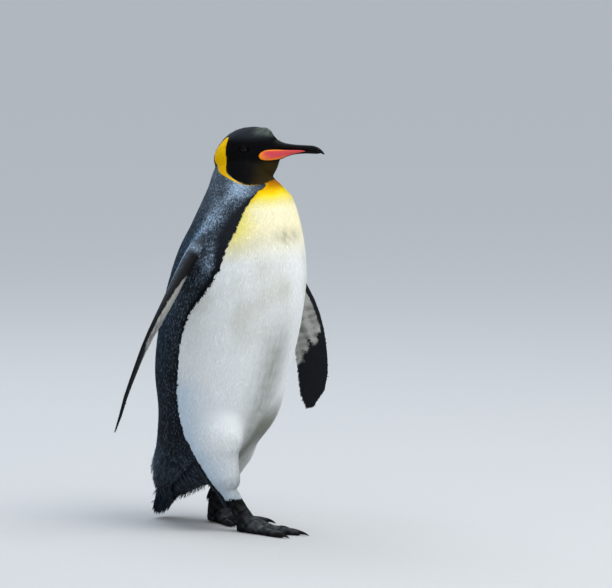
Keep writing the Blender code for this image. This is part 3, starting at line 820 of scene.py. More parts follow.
def lids(side, sign, surface):
    """Both lids of one eye as one ring, from the rim of the opening outward."""
    shape = bmesh.new()
    reaches = [LID_REACH * (ring / (LID_RINGS - 1)) ** 1.35 for ring in range(LID_RINGS)]
    rows = [[shape.verts.new(p) for p in lid_ring(side, sign, surface, reach)] for reach in reaches]
    for low, high in zip(rows, rows[1:]):
        for k in range(LID_CORNERS):
            j = (k + 1) % LID_CORNERS
            corners = (low[k], low[j], high[j], high[k])
            shape.faces.new(corners if sign > 0 else corners[::-1])
    bmesh.ops.recalc_face_normals(shape, faces=shape.faces)
    outward = HEAD.to_3x3() @ Vector((-sign, 0, 0))
    if sum(f.normal.dot(outward) for f in shape.faces) < 0:
        bmesh.ops.reverse_faces(shape, faces=shape.faces)
    return as_mesh(shape, f"lids_{side}")


def add_lids(obj, node):
    """Joins the lids to the skin. Returns (node of each point, which points the coat leaves bare)."""
    mesh = obj.data
    surface = BVHTree.FromPolygons([v.co for v in mesh.vertices], [p.vertices[:] for p in mesh.polygons])
    made = [lids(side, sign, surface) for side, sign in SIDES]
    bare = sink_under_lids(mesh)
    shape = bmesh.new()
    for joined in (mesh, *made):
        shape.from_mesh(joined)
    shape.to_mesh(mesh)
    shape.free()
    mesh.shade_smooth()
    added = points_of(mesh)[len(node) :]
    rim = lid_distance(in_head(added)) < 1.5 * MM
    return np.concatenate([node, np.full(len(added), NODE["head"])]), np.concatenate([bare, rim])


# --- materials


class Shader:
    """A material with a Principled shader, and short ways to add nodes to it."""

    def __init__(self, name, **sockets):
        self.material = bpy.data.materials.new(name)
        self.material.use_nodes = True
        self.tree = self.material.node_tree
        self.shader = self.tree.nodes["Principled BSDF"]
        for socket, value in sockets.items():
            self.shader.inputs[socket.replace("_", " ")].default_value = value

    def add(self, kind, output, links=(), **values):
        """A new node's output. links feed its sockets, and values set its sockets or settings."""
        node = self.tree.nodes.new(f"ShaderNode{kind}")
        for name, value in values.items():
            if hasattr(node, name):
                setattr(node, name, value)
            else:
                node.inputs[name.replace("_", " ")].default_value = value
        for socket, source in links:
            self.tree.links.new(source, node.inputs[socket])
        return node.outputs[output]

    def noise(self, vector, scale, detail, roughness):
        values = {"Scale": scale, "Detail": detail, "Roughness": roughness}
        return self.add("TexNoise", "Fac", [("Vector", vector)], **values)

    def grain(self, scale, detail=3.0):
        """Noise over the object's own coordinates."""
        return self.noise(self.add("TexCoord", "Object"), scale, detail, 0.55)

    def bump(self, height, strength, distance):
        normal = self.add("Bump", "Normal", [("Height", height)], Strength=strength, Distance=distance)
        self.tree.links.new(normal, self.shader.inputs["Normal"])

    def tint(self, value, low, high, colour=None):
        """The markings, or a colour, made darker and lighter by a value; goes to the base colour."""
        colour = colour or self.add("Attribute", "Color", attribute_name="Plumage")
        ranged = self.add("MapRange", "Result", [("Value", value)], To_Min=low, To_Max=high)
        scaled = self.add("VectorMath", "Vector", [(0, colour), ("Scale", ranged)], operation="SCALE")
        self.tree.links.new(scaled, self.shader.inputs["Base Color"])


def feather_material(name, roughness, specular):
    """Vanes: their own colour, with fine barbs across each."""
    made = Shader(name, Roughness=roughness, Specular_IOR_Level=specular)
    across = made.add("UVMap", "UV", uv_map="Vane")
    barbs = made.add(
        "TexWave", "Fac", [("Vector", across)],
        bands_direction="DIAGONAL", Scale=9.0, Distortion=1.5, Detail=2.0, Detail_Scale=2.0,
    )
    made.tint(barbs, 0.88, 1.06)
    made.bump(barbs, 0.25, 0.2 * MM)
    return made.material


def grained(name, roughness, specular, scale, low, high, bump=0.0, detail=3.0):
    """The markings, darker and lighter by a fine grain."""
    made = Shader(name, Roughness=roughness, Specular_IOR_Level=specular)
    grain = made.grain(scale, detail)
    made.tint(grain, low, high)
    if bump:
        made.bump(grain, bump, 0.25 * MM)
    return made


def skin_material():
    made = grained("skin", 0.62, 0.04, 900.0, 0.75, 1.15)
    place = made.add("TexCoord", "Object")
    made.bump(made.add("TexVoronoi", "Distance", [("Vector", place)], Scale=520.0), 0.5, 0.5 * MM)
    return made.material


def horn_material(name, roughness, coat):
    """Dark or coloured horn with fine growth lines along it."""
    made = Shader(name, Roughness=roughness, Specular_IOR_Level=0.08, Coat_Weight=coat, Coat_Roughness=0.2)
    along_it = made.add("UVMap", "UV", uv_map="Horn")
    stretched = made.add("Mapping", "Vector", [("Vector", along_it)], Scale=(3.0, 40.0, 1.0))
    streaks = made.noise(stretched, 3.0, 5.0, 0.6)
    made.tint(streaks, 0.72, 1.25)
    made.bump(streaks, 0.18, 0.25 * MM)
    return made.material


# --- coat

# A vane: (share of its length, share of its width), from root to tip.
LONG_VANE = ((0.0, 0.45), (0.42, 1.0), (0.78, 0.86), (1.0, 0.0))
SHORT_VANE = ((0.0, 0.6), (0.6, 1.0), (1.0, 0.0))
SCALE_VANE = ((0.0, 0.8), (0.55, 1.0), (0.9, 0.7), (1.0, 0.0))
ROOT_DEPTH = 0.35 * MM  # how far a vane's root lies in the skin
CAMBER = 0.1  # how far its sides bow down, as a share of its width
PATCH = 0.003  # side of a vane's patch on the OFBake map
FLOOR_GAP = 0.2 * MM
SOFTNESS = 0.72  # how far a vane's shading takes after the skin below it
AROUND = list(itertools.product((-1, 0, 1), repeat=3))


def scatter(corners, area, spacing, seed):
    """Seeded points on triangles, no two nearer than their spacing. Returns (triangle, weights)."""
    draw = np.random.default_rng(seed)
    wanted = area / (spacing.mean(axis=1) ** 2) * 2.6
    total = int(wanted.sum())
    pick = draw.choice(len(area), total, p=wanted / wanted.sum())
    first, second = draw.random(total), draw.random(total)
    over = first + second > 1
    first[over], second[over] = 1 - first[over], 1 - second[over]
    weight = np.column_stack((1 - first - second, first, second))
    places = np.einsum("nk,nkd->nd", weight, corners[pick])
    radius = np.einsum("nk,nk->n", weight, spacing[pick])
    cells = np.floor(places / float(radius.max())).astype(int).tolist()
    grid, kept = {}, []
    for i, ((a, b, c), (x, y, z), least) in enumerate(zip(cells, places.tolist(), (radius**2).tolist())):
        near = (spot for da, db, dc in AROUND for spot in grid.get((a + da, b + db, c + dc), ()))
        if all((qx - x) ** 2 + (qy - y) ** 2 + (qz - z) ** 2 >= least for qx, qy, qz in near):
            grid.setdefault((a, b, c), []).append((x, y, z))
            kept.append(i)
    return pick[kept], weight[kept]


def vane_rows(pattern, grown, size, tint):
    """Corner by corner, for all vanes at once: places, colours, marks on a vane's map; first of each row."""
    normal = grown["normal"]
    across = np.cross(grown["way"], normal)
    length, width, lift, bend = (column[:, None] for column in size.T)
    places, hues, marks, starts = [], [], [], []
    for share, wide in pattern:
        rise = lift * math.sin(math.pi / 2 * share**0.85) - ROOT_DEPTH * (1 - share) - bend * share**2
        spine = grown["root"] + grown["way"] * (length * share) + normal * rise
        hue = tint(spine, min(1.0, share * 1.25))
        starts.append(len(places))
        for edge in (-1, 0, 1) if wide else (0,):
            camber = normal * (abs(edge) * CAMBER * width * wide)
            places.append(spine + across * (edge * width * wide / 2) - camber)
            hues.append(hue)
            marks.append((0.5 + edge * wide / 2, share))
    return places, hues, np.array(marks), starts


def vane_faces(starts, tip):
    """Faces of one vane: two to each row, which meet in a point at its tip."""
    faces = []
    for start, after in zip(starts, starts[1:]):
        for k in (0, 1):
            ahead = (after,) if after == tip else (after + k + 1, after + k)
            faces.append((start + k, start + k + 1, *ahead))
    return faces


def vanes(name, pattern, grown, size, tint, uv, material):
    """One mesh of vanes. size holds columns length, width, lift and bend; tint colours a place along them."""
    places, hues, marks, starts = vane_rows(pattern, grown, size, tint)
    count, each = len(size), len(places)
    places = np.stack(places, axis=1).reshape(-1, 3)
    places[:, 2] = np.maximum(places[:, 2], FLOOR_GAP)
    faces = vane_faces(starts, each - 1)
    loops = np.concatenate(faces)
    sizes = np.tile([len(face) for face in faces], count)
    mesh = bpy.data.meshes.new(name)
    mesh.vertices.add(count * each)
    write(mesh.vertices, "co", places)
    mesh.loops.add(count * len(loops))
    write(mesh.loops, "vertex_index", np.arange(count)[:, None] * each + loops, np.int32)
    mesh.polygons.add(len(sizes))
    write(mesh.polygons, "loop_start", np.cumsum(sizes) - sizes, np.int32)
    mesh.update(calc_edges=True)
    mesh.validate()
    mesh.shade_smooth()
    spots = np.clip(uv, 0.004, 0.996)[:, None, :] + (marks[loops] - 0.5) * PATCH
    bake = mesh.uv_layers.new(name="OFBake")
    write(bake.data, "uv", spots)
    own = mesh.uv_layers.new(name="Vane")
    write(own.data, "uv", np.tile(marks[loops], (count, 1)))
    mesh.uv_layers.active = mesh.uv_layers["OFBake"]
    paint(mesh, np.stack(hues, axis=1).reshape(-1, 3))
    soft = unit(np.repeat(grown["normal"], each, axis=0) * SOFTNESS + normals_of(mesh) * (1 - SOFTNESS))
    mesh.normals_split_custom_set_from_vertices(soft.astype(np.float32))
    mesh.materials.append(material)
    return linked(name, mesh)


class Coat:
    """The skin as triangles, with what each corner needs for growing vanes."""

    def __init__(self, obj, node, bare):
        mesh = obj.data
        mesh.calc_loop_triangles()
        self.points, self.normals, self.node = points_of(mesh), normals_of(mesh), node
        self.triangles = read(mesh.loop_triangles, "vertices", 3, np.int32)
        sides = self.points[self.triangles]
        cross = np.cross(sides[:, 1] - sides[:, 0], sides[:, 2] - sides[:, 0])
        self.area = np.linalg.norm(cross, axis=1) / 2
        self.open = ~bare[self.triangles].any(axis=1)

    def grow(self, here, spacing, seed):
        """Roots on the triangles that have most of their corners here, as a dict of arrays."""
        spacing = np.broadcast_to(spacing, len(self.points))
        chosen = self.open & (here[self.triangles].sum(axis=1) >= 2) & (self.area > 0)
        triangles = self.triangles[chosen]
        pick, weight = scatter(self.points[triangles], self.area[chosen], spacing[triangles], seed)
        corners = triangles[pick]
        draw = np.random.default_rng(seed + 1)
        normal = unit(np.einsum("nk,nkd->nd", weight, self.normals[corners]))
        root = np.einsum("nk,nkd->nd", weight, self.points[corners])
        node = self.node[corners[np.arange(len(corners)), weight.argmax(axis=1)]]
        jitter = draw.uniform(-1, 1, len(root))
        way = flow_at(root, normal, node)
        lean = draw.normal(0, 0.1, len(root))[:, None]
        way = way * np.cos(lean) + np.cross(normal, way) * np.sin(lean)
        return {"root": root, "normal": normal, "node": node, "jitter": jitter, "way": way, "draw": draw}


def chart(*axes):
    """A map's columns. Each axis is (values, low, high)."""
    return np.column_stack([(values - low) / (high - low) for values, low, high in axes])


def coat_piece(name, grown, pattern, size, uv, material, slot, keep=slice(None)):
    """Grows one piece of coat on the roots to keep. The markings run on through each vane."""
    part = {key: value if key == "draw" else value[keep] for key, value in grown.items()}
    tone = 1 + 0.05 * part["draw"].normal(size=len(part["root"]))[:, None]

    def tint(spine, share):
        return mix(*plumage(spine, part["node"], part["jitter"]), share) * tone

    given(vanes(name, pattern, part, size[keep], tint, uv[keep], material), slot)


# Vanes of the white and the dark plumage, the head, and the legs low and high: (length, width, lift).
WHITE_VANES = np.array((12.0, 5.0, 0.6)) * MM
DARK_VANES = np.array((9.5, 3.4, 1.2)) * MM
HEAD_VANES = np.array((2.9, 1.45, 0.45)) * MM
ANKLE_VANES = np.array((9.0, 2.6, 0.4)) * MM
THIGH_VANES = np.array((12.0, 4.2, 0.8)) * MM
HEM_LENGTH, HEM_LIFT = 24 * MM, 3.5 * MM  # of the dark vanes that hang over the heels
BODY_BEND, HEAD_BEND = 0.1, 0.04  # radius that a vane bends to, so that it follows the form
WHITE_SPACING, DARK_SPACING, HEAD_SPACING = 2.7, 2.15, 1.0  # mm
FLANK_FROM, BACK_FROM = 62, 118  # degrees round the spine where the coat's pieces meet
HOOD_BELOW = -0.045  # height in the head's frame where head and neck meet


def head_shares(local):
    """How far a place counts as the head, and as the skin close to an eye."""
    head = ease(-0.2, -0.045, local[:, 2])
    return head, ease(7 * MM, 2 * MM, lid_distance(local)) * head


def body_sizes(grown):
    """Length, width, lift and bend of the body's and head's vanes."""
    root, draw = grown["root"], grown["draw"]
    local, height, y = in_head(root), root[:, 2], root[:, 1]
    head, near_eye = head_shares(local)
    face = ease(0.012, 0.045, local[:, 1]) * head
    white = inside_front(root) > 0
    neck = ease(0.6, 0.65, height) * ~white
    rump = ease(0.24, 0.14, height) * ease(0.04, 0.09, y)
    below = rump * ease(0.0, -0.5, grown["normal"][:, 2])  # the tufts that hang under the rump
    rear = ease(0.18, 0.15, height) * ease(0.085, 0.1, height) * ease(0.1, 0.13, y)
    rear = rear * (grown["jitter"] > 0.3) * (below == 0)  # and those that stand off behind it
    tufts = columns(12 * rump + 6 * below + 9 * rear, -0.4 * neck, 3.5 * rump + 5 * (below + rear)) * MM
    size = mix(np.where(white[:, None], WHITE_VANES, DARK_VANES) + tufts, HEAD_VANES, head)
    size *= (1 - face[:, None] * (0.35, 0.3, 0.0)) * (1 - near_eye[:, None] * (0.45, 0.35, 0.5))
    size *= 1 - columns(0.25 * neck * (1 - head), 0.5 * rump, 0.0)
    bend = size[:, 0] ** 2 / (2 * (BODY_BEND * (1 - head) + HEAD_BEND * head)) * (1 - rump) * 0.8
    leg = on(grown["node"], *LEGS, *FEET)
    size[leg] = mix(ANKLE_VANES, THIGH_VANES, np.clip((height[leg] - 0.07) / 0.06, 0, 1))
    size[leg & ~white & (height < 0.17)] *= (0, 1, 0)
    size[leg & ~white & (height < 0.17)] += (HEM_LENGTH, 0, HEM_LIFT)
    vary = draw.uniform(0.85, 1.18, len(root))
    lift = size[:, 2] * draw.uniform(0.75, 1.2, len(root))
    return columns(size[:, 0] * vary, size[:, 1], lift, bend * ~leg)


def upper_coat(coat, spacing, soft, dark):
    """Head and neck."""
    grown = coat.grow(on(coat.node, "head", "neck"), spacing, 11)
    size, root, local = body_sizes(grown), grown["root"], in_head(grown["root"])
    x, ahead, above = local.T
    hood = above > HOOD_BELOW
    rise = degrees(above + 5 * MM, np.hypot(x, ahead))
    uv = chart((degrees(x, ahead + 5 * MM), -180, 180), (rise, -90, 90))
    coat_piece("coat_head", grown, LONG_VANE, size, uv, dark, "dark_feathers", hood)
    uv = chart((round_body(root), -180, 180), (root[:, 2], 0.63, 0.8))
    coat_piece("coat_neck", grown, LONG_VANE, size, uv, soft, "back_feathers", ~hood)


def lower_coat(coat, spacing, soft):
    """Trunk and legs."""
    shins = on(coat.node, *FEET) & (coat.points[:, 2] > 0.066)
    grown = coat.grow(on(coat.node, "trunk", *LEGS) | shins, spacing, 21)
    size, root = body_sizes(grown), grown["root"]
    x, y, height = root.T
    turn = round_body(root)
    legs = ~on(grown["node"], "trunk")
    back = np.abs(turn) >= BACK_FROM
    angle = np.where(back, np.sign(turn) * (180 - np.abs(turn)), turn)
    quarters = {
        "coat_breast": (np.abs(turn) < FLANK_FROM, -FLANK_FROM, FLANK_FROM, "white_feathers"),
        "coat_flank_left": (~back & (turn >= FLANK_FROM), FLANK_FROM, BACK_FROM, "back_feathers"),
        "coat_flank_right": (~back & (turn <= -FLANK_FROM), -BACK_FROM, -FLANK_FROM, "back_feathers"),
        "coat_back": (back, -FLANK_FROM, FLANK_FROM, "back_feathers"),
    }
    for name, (here, low, high, slot) in quarters.items():
        uv = chart((angle, low, high), (height, 0.04, 0.7))
        coat_piece(name, grown, LONG_VANE, size, uv, soft, slot, here & ~legs)
    for side, sign in SIDES:
        here = legs & (x * sign > 0)
        axis = np.median(root[here], axis=0)
        uv = chart((degrees(x - axis[0], axis[1] - y), -180, 180), (height, 0.05, 0.2))
        coat_piece(f"coat_leg_{side}", grown, LONG_VANE, size, uv, soft, "white_feathers", here)


def body_coat(coat, soft, dark):
    head, near_eye = head_shares(in_head(coat.points))
    spacing = np.where(inside_front(coat.points) > 0, WHITE_SPACING, DARK_SPACING)
    spacing = (spacing * (1 - head) + HEAD_SPACING * head) * MM * (1 - 0.25 * near_eye)
    upper_coat(coat, spacing, soft, dark)
    lower_coat(coat, spacing, soft)


def flipper_coat(coat, side, sign, material):
    """Short stiff scale-like feathers in dense rows."""
    grown = coat.grow(on(coat.node, f"flipper_{side}"), 2.15 * MM, 31 + sign)
    root, draw = grown["root"], grown["draw"]
    share, across, _ = on_flipper(root, sign)
    fringe = np.maximum(ease(-0.75, -0.95, across), ease(0.93, 1.0, share)) * ease(0.15, 0.35, share)
    length = (4.6 + 0.7 * fringe) * MM * draw.uniform(0.9, 1.1, len(root))
    size = columns(length, 2.5 * MM, 0.55 * MM * draw.uniform(0.7, 1.2, len(root)), 0.0)
    outer = grown["normal"] @ flipper_axes(sign)[2][0] > 0
    uv = chart((across, -1.3, 1.3), (share, -0.1, 1.02)) * (0.48, 1)
    uv = uv + columns(np.where(outer, 0.01, 0.51), 0.0)
    coat_piece(f"coat_flipper_{side}", grown, SHORT_VANE, size, uv, material, "dark_feathers")


def foot_scales(coat, side, sign, material):
    """Small overlapping scales on tarsus and toes."""
    here = on(coat.node, f"foot_{side}") & (coat.points[:, 2] > 1.2 * MM)
    grown = coat.grow(here, 1.75 * MM, 51 + sign)
    x, y, height = grown["root"].T
    length = 2.7 * MM * grown["draw"].uniform(0.85, 1.15, len(x))
    size = columns(length, length * 0.85, 0.42 * MM, 0.25 * MM)
    low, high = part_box(f"foot_{side}")
    uv = chart((x, low.x, high.x), (y + height * 0.7, low.y, high.y + 0.06))
    upper = grown["normal"][:, 2] > -0.6
    coat_piece(f"scales_foot_{side}", grown, SCALE_VANE, size, uv, material, "foot_skin", upper)


# --- tail

# Middle of the tail: (height, y, half width, half thickness).
TAIL = (
    (0.0045, 0.2075, 0.022, 0.0022), (0.015, 0.2035, 0.027, 0.004), (0.034, 0.1945, 0.033, 0.006),
    (0.058, 0.1825, 0.036, 0.009), (0.086, 0.1665, 0.036, 0.013), (0.118, 0.1445, 0.03, 0.014),
)
QUILL_ROWS = (0.104, 0.09, 0.076, 0.062, 0.05)  # heights of their roots
QUILLS_IN_ROW = 15
QUILL_WIDTH = 5.2 * MM
QUILL = ((0.0, 0.55), (0.25, 0.85), (0.5, 1.0), (0.8, 0.9), (0.93, 0.55), (1.0, 0.0))


def tail_chart(root, normal):
    """Its front on the lower half of the map, its back on the upper half."""
    low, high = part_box("tail")
    uv = chart((root[:, 0], low.x, high.x), (root[:, 2], low.z, high.z))
    return uv * (1, 0.45) + columns(0.0, 0.5 * (normal[:, 1] > 0))


def quill_places(draw):
    """(root, tip, which face: 1 behind or -1 ahead) of each quill."""
    roots, tips, faces = [], [], []
    for (row, top), face, k in itertools.product(enumerate(QUILL_ROWS), (1, -1), range(QUILLS_IN_ROW)):
        y, wide, thick = (float(along(TAIL, top, column)) for column in (1, 2, 3))
        share = (k + 0.5 * (row % 2)) / (QUILLS_IN_ROW - 0.5) * 2 - 1
        end = 0.002 + 0.012 * share**2 + 0.012 * draw.random() ** 1.5 + 0.003 * row
        off_middle_plane = face * thick * math.sqrt(max(1 - share**2, 0.0)) * 0.75
        roots.append((share * wide * 0.92, y + off_middle_plane, top))
        tip_y = float(along(TAIL, end)) + face * 1.5 * MM * draw.uniform(0.0, 1.6)
        tips.append((share * 0.026 + draw.normal(0, 1.3 * MM), tip_y, end))
        faces.append(face)
    return np.array(roots), np.array(tips), np.array(faces)[:, None]


def tail_quills(material):
    """Stiff narrow quills that run together towards a ragged end."""
    draw = np.random.default_rng(71)
    root, tip, face = quill_places(draw)
    length = np.linalg.norm(tip - root, axis=1)
    way = unit(tip - root)
    normal = face * np.array((0.0, 0.93, 0.36))
    normal = unit(normal - way * dot(normal, way)[:, None])
    size = columns(length, QUILL_WIDTH * draw.uniform(0.75, 1.1, len(root)), 0.8 * MM, 0.0)
    jitter = draw.uniform(-1, 1, len(root))
    low, high = BLACK * (1 + 0.3 * jitter[:, None]), mix(BLACK, SLATE, 0.15 + np.abs(jitter) * 0.75)

    def tint(_, share):
        return mix(low, high, share)

    grown = {"root": root, "normal": normal, "way": way}
    uv = tail_chart(root, normal)
    given(vanes("tail_quills", QUILL, grown, size, tint, uv, material), "dark_feathers")


def tail_cover(coat, material):
    """Short vanes over the quills' roots."""
    grown = coat.grow(on(coat.node, "tail"), 3.0 * MM, 81)
    root, draw = grown["root"], grown["draw"]
    length = 14 * MM * draw.uniform(0.8, 1.2, len(root))
    length = np.minimum(length, np.maximum(root[:, 2] - 1.5 * MM, 2 * MM) * 1.02)  # clear of the floor
    size = columns(length, 3.4 * MM, draw.uniform(0.6, 1.5, len(root)) * MM, 0.0)
    uv = tail_chart(root, grown["normal"])
    coat_piece("coat_tail", grown, LONG_VANE, size, uv, material, "dark_feathers")


# --- horn

# Bill, in the head's frame: (ahead, half width, top, bottom).
BILL_UPPER = (
    (0.05, 0.014, 0.028, 0.005), (0.07, 0.0128, 0.0258, 0.0054), (0.08, 0.0112, 0.0212, 0.0058),
    (0.09, 0.0098, 0.0182, 0.006), (0.112, 0.0078, 0.0158, 0.006), (0.135, 0.0064, 0.015, 0.0052),
    (0.15, 0.0056, 0.0141, 0.0034), (0.161, 0.0046, 0.0104, 0.0006), (0.169, 0.0028, 0.0044, -0.0022),
    (0.1735, 0.0008, -0.0014, -0.004),
)
BILL_LOWER = (
    (0.042, 0.018, 0.0056, -0.015), (0.062, 0.015, 0.006, -0.0165), (0.078, 0.0112, 0.0062, -0.0156),
    (0.09, 0.0092, 0.0064, -0.0104), (0.106, 0.0074, 0.0065, -0.0052), (0.13, 0.0054, 0.006, -0.0026),
    (0.148, 0.0042, 0.0046, -0.0026), (0.158, 0.0028, 0.0028, -0.0026), (0.165, 0.001, 0.0008, -0.0014),
)
# The coral plate on each side of the lower bill: (ahead, out, height, half depth).
BILL_PLATE = (
    (0.0405, 0.0282, -0.0078, 0.0012), (0.0416, 0.0278, -0.0078, 0.0044), (0.0445, 0.0264, -0.0075, 0.0074),
    (0.052, 0.0226, -0.0064, 0.0102), (0.062, 0.0178, -0.0056, 0.0108), (0.076, 0.0126, -0.0046, 0.01),
    (0.09, 0.0092, -0.0024, 0.0074), (0.106, 0.0072, 0.0006, 0.0044), (0.122, 0.0058, 0.0024, 0.0024),
    (0.133, 0.005, 0.003, 0.0006),
)
PLATE_THICK = 2.3 * MM
BILL_SECTIONS, BILL_CORNERS = 70, 40


def smooth_rows(rows, count):
    """Rows between the given ones, evenly by their first column, on Catmull-Rom curves through them."""
    table = np.array(rows, float)
    ends = np.vstack([2 * table[0] - table[1], table, 2 * table[-1] - table[-2]])
    made = []
    for place in np.linspace(table[0, 0], table[-1, 0], count):
        i = min(int(np.searchsorted(table[:, 0], place, side="right")) - 1, len(table) - 2)
        t = (place - table[i, 0]) / (table[i + 1, 0] - table[i, 0])
        a, b, c, d = ends[i : i + 4]
        row = 0.5 * (2 * b + (c - a) * t + (2 * a - 5 * b + 4 * c - d) * t**2 + (3 * (b - c) + d - a) * t**3)
        row[0] = place
        made.append(row)
    return made


def bulge(values, power):
    """Values of -1 to 1 pushed outward, which squares a round section off."""
    return np.copysign(np.abs(values) ** power, values)


def horn_loft(name, rings, hues, material, slot, node):
    """A closed loft with its colours, a map along it, and smooth shading."""
    shape = bmesh.new()
    layer = shape.loops.layers.uv.new("Horn")
    rows = [[shape.verts.new(p) for p in ring] for ring in rings]
    corners = len(rings[0])
    for i, (low, high) in enumerate(zip(rows, rows[1:])):
        for k in range(corners):
            j = (k + 1) % corners
            face = shape.faces.new((low[k], low[j], high[j], high[k]))
            places = ((i, k), (i, k + 1), (i + 1, k + 1), (i + 1, k))
            for loop, (row, column) in zip(face.loops, places):
                loop[layer].uv = (row / len(rings), column / corners)
    shape.faces.new(rows[0][::-1])
    shape.faces.new(rows[-1])
    bmesh.ops.recalc_face_normals(shape, faces=shape.faces)
    if shape.calc_volume(signed=True) < 0:
        bmesh.ops.reverse_faces(shape, faces=shape.faces)
    mesh = as_mesh(shape, name)
    mesh.shade_smooth()
    paint(mesh, np.concatenate(hues))
    mesh.materials.append(material)
    given(linked(name, mesh), slot, node)


def mandible(name, stations, groove_height, material, node):
    """One half of the bill: a rounded section with a groove along each side."""
    rings, hues = [], []
    c, s = circle(BILL_CORNERS)
    for ahead, width, top, low in smooth_rows(stations, BILL_SECTIONS):
        share = (ahead - stations[0][0]) / (stations[-1][0] - stations[0][0])
        groove = 0.55 * MM * math.sin(math.pi * min(1.0, share * 1.35)) if share < 0.74 else 0.0
        dip = groove * hump((s, groove_height, 0.2)) * np.abs(c)
        x = max(width, 0.3 * MM) * bulge(c, 0.92) - np.copysign(dip, c)
        z = (top + low) / 2 + (top - low) / 2 * bulge(s, 0.96)
        rings.append(moved(columns(x, ahead, z), HEAD))
        hues.append(np.tile(BILL_BLACK * (1 + 0.5 * share), (BILL_CORNERS, 1)))
    horn_loft(name, rings, hues, material, "horn", node)


def bill_plate(side, sign, material):
    """A shallow lens, coral in the middle and orange towards its rear and its edges."""
    rings, hues = [], []
    c, s = circle(BILL_CORNERS)
    for ahead, out, height, half in smooth_rows(BILL_PLATE, BILL_SECTIONS):
        share = (ahead - BILL_PLATE[0][0]) / (BILL_PLATE[-1][0] - BILL_PLATE[0][0])
        deep = max(half, 0.2 * MM)
        x = -sign * (out + PLATE_THICK * bulge(c, 0.8))
        rings.append(moved(columns(x, ahead, height + deep * s), HEAD))
        from_edge = np.minimum((1 - np.abs(s)) * deep, (ahead - BILL_PLATE[0][0]) * 0.24)
        rim = hump((from_edge, 0, np.where(s < 0, 3.6, 2.3) * MM)) * (1 - ease(0.3, 0.72, share))
        hues.append(mix(CORAL * (1 - share) + CORAL_LIGHT * share, ORANGE, rim))
    horn_loft(f"plate_{side}", rings, hues, material, "bill_plate", f"bill_plate_{side}")


def make_bill():
    horn = horn_material("bill_horn", 0.42, 0.0)
    mandible("bill_top", BILL_UPPER, -0.25, horn, "bill_upper")
    mandible("bill_bottom", BILL_LOWER, 0.55, horn, "bill_lower")
    plate = horn_material("plate_horn", 0.4, 0.05)
    for side, sign in SIDES:
        bill_plate(side, sign, plate)


def eyeball(side, sign, material):
    """A ball with a black pupil in a dark brown iris, facing out through the lids."""
    shape = bmesh.new()
    bmesh.ops.create_uvsphere(shape, u_segments=48, v_segments=36, radius=EYE_RADIUS)
    out = HEAD.to_3x3() @ Vector((-sign * 1.0, 0.16, -0.1)).normalized()
    shape.transform(Matrix.Translation(EYES[side]) @ out.to_track_quat("Z", "Y").to_matrix().to_4x4())
    mesh = as_mesh(shape, f"eyeball_{side}")
    mesh.shade_smooth()
    away = points_of(mesh) - np.array(EYES[side])
    turn = np.degrees(np.arccos(np.clip(away @ np.array(out) / EYE_RADIUS, -1, 1)))
    hue = mix(PUPIL, IRIS, ease(15, 20, turn))
    paint(mesh, mix(hue, EYE_RIM, ease(40, 52, turn)))
    mesh.materials.append(material)
    given(linked(f"eyeball_{side}", mesh), "eye", f"eye_{side}")


CLAW_SECTIONS, CLAW_CORNERS = 28, 20
CLAW_OVERLAP = 3 * MM  # how far it starts inside the toe


def claw(side, name, material):
    """A curved claw with a ridge on top, from inside the toe to the tip of its solid."""
    node = f"claw_{side}_{name}"
    solid = points_of(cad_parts[node].data)
    reach = (solid - np.array(foot_heel(side))) @ toe_way(side)
    tip, base = solid[reach.argmax()], solid[reach < reach.min() + 2 * MM].mean(axis=0)
    way = (tip - base) * (1, 1, 0)
    long = np.linalg.norm(way)
    way /= long
    across = np.array((-way[1], way[0], 0))
    c, s = circle(CLAW_CORNERS)
    ridge = 1 + 0.16 * np.maximum(0.0, s) ** 8
    rings, hues = [], []
    for t in np.arange(CLAW_SECTIONS) / (CLAW_SECTIONS - 1):
        height = max(5.184 * MM * (1 - t) ** 0.5 + 1.6 * MM * math.sin(math.pi * t) + 0.7 * MM, 0.6 * MM)
        size = 5.4 * MM * (1 - t) ** 0.65 + 0.35 * MM
        centre = base + way * ((long + CLAW_OVERLAP) * t - CLAW_OVERLAP)
        centre[2] = max(height, size * 0.92)
        above = columns(0.0, 0.0, size * 0.92 * s * ridge)
        rings.append(centre + across * (size * 0.8 * c)[:, None] + above)
        hues.append(np.tile(CLAW_BLACK * (1 + 0.9 * t), (CLAW_CORNERS, 1)))
    horn_loft(f"nail_{side}_{name}", rings, hues, material, "horn", node)


# --- room

CAMERA_AZIMUTH = math.radians(-47)
CAMERA_DISTANCE, CAMERA_HEIGHT = 8.0, 1.25
CAMERA_AIM = (0.1414, -0.0884, 0.4891)
BIRD_MIDDLE = (0, -0.0055, 0)
LENS = 225.3
BODY_AIM, LEGS_AIM = (0, 0, 0.45), (0, 0, 0.2)
# Lights: name, place, aim, size, power, colour.
LIGHTS = (
    ("key", (0.4, -2.7, 4.9), BODY_AIM, 3.0, 160, (1.0, 0.97, 0.92)),
    ("fill", (-0.8, -3.0, 0.3), LEGS_AIM, 1.5, 14, (1.0, 0.98, 0.95)),
    ("rim", (0.6, 3.0, 3.6), BODY_AIM, 2.5, 40, (0.9, 0.95, 1.0)),
)


def aimed(name, data, place, aim):
    obj = linked(name, data)
    obj.location = place
    obj.rotation_euler = (Vector(aim) - obj.location).to_track_quat("-Z", "Y").to_euler()
    return obj


def make_camera():
    data = bpy.data.cameras.new("camera")
    data.sensor_width = 36
    data.lens = LENS
    data.clip_end = 400
    back = Vector((math.sin(CAMERA_AZIMUTH), -math.cos(CAMERA_AZIMUTH), 0))
    place = Vector(BIRD_MIDDLE) + UP * CAMERA_HEIGHT + back * CAMERA_DISTANCE
    bpy.context.scene.camera = aimed("camera", data, place, CAMERA_AIM)


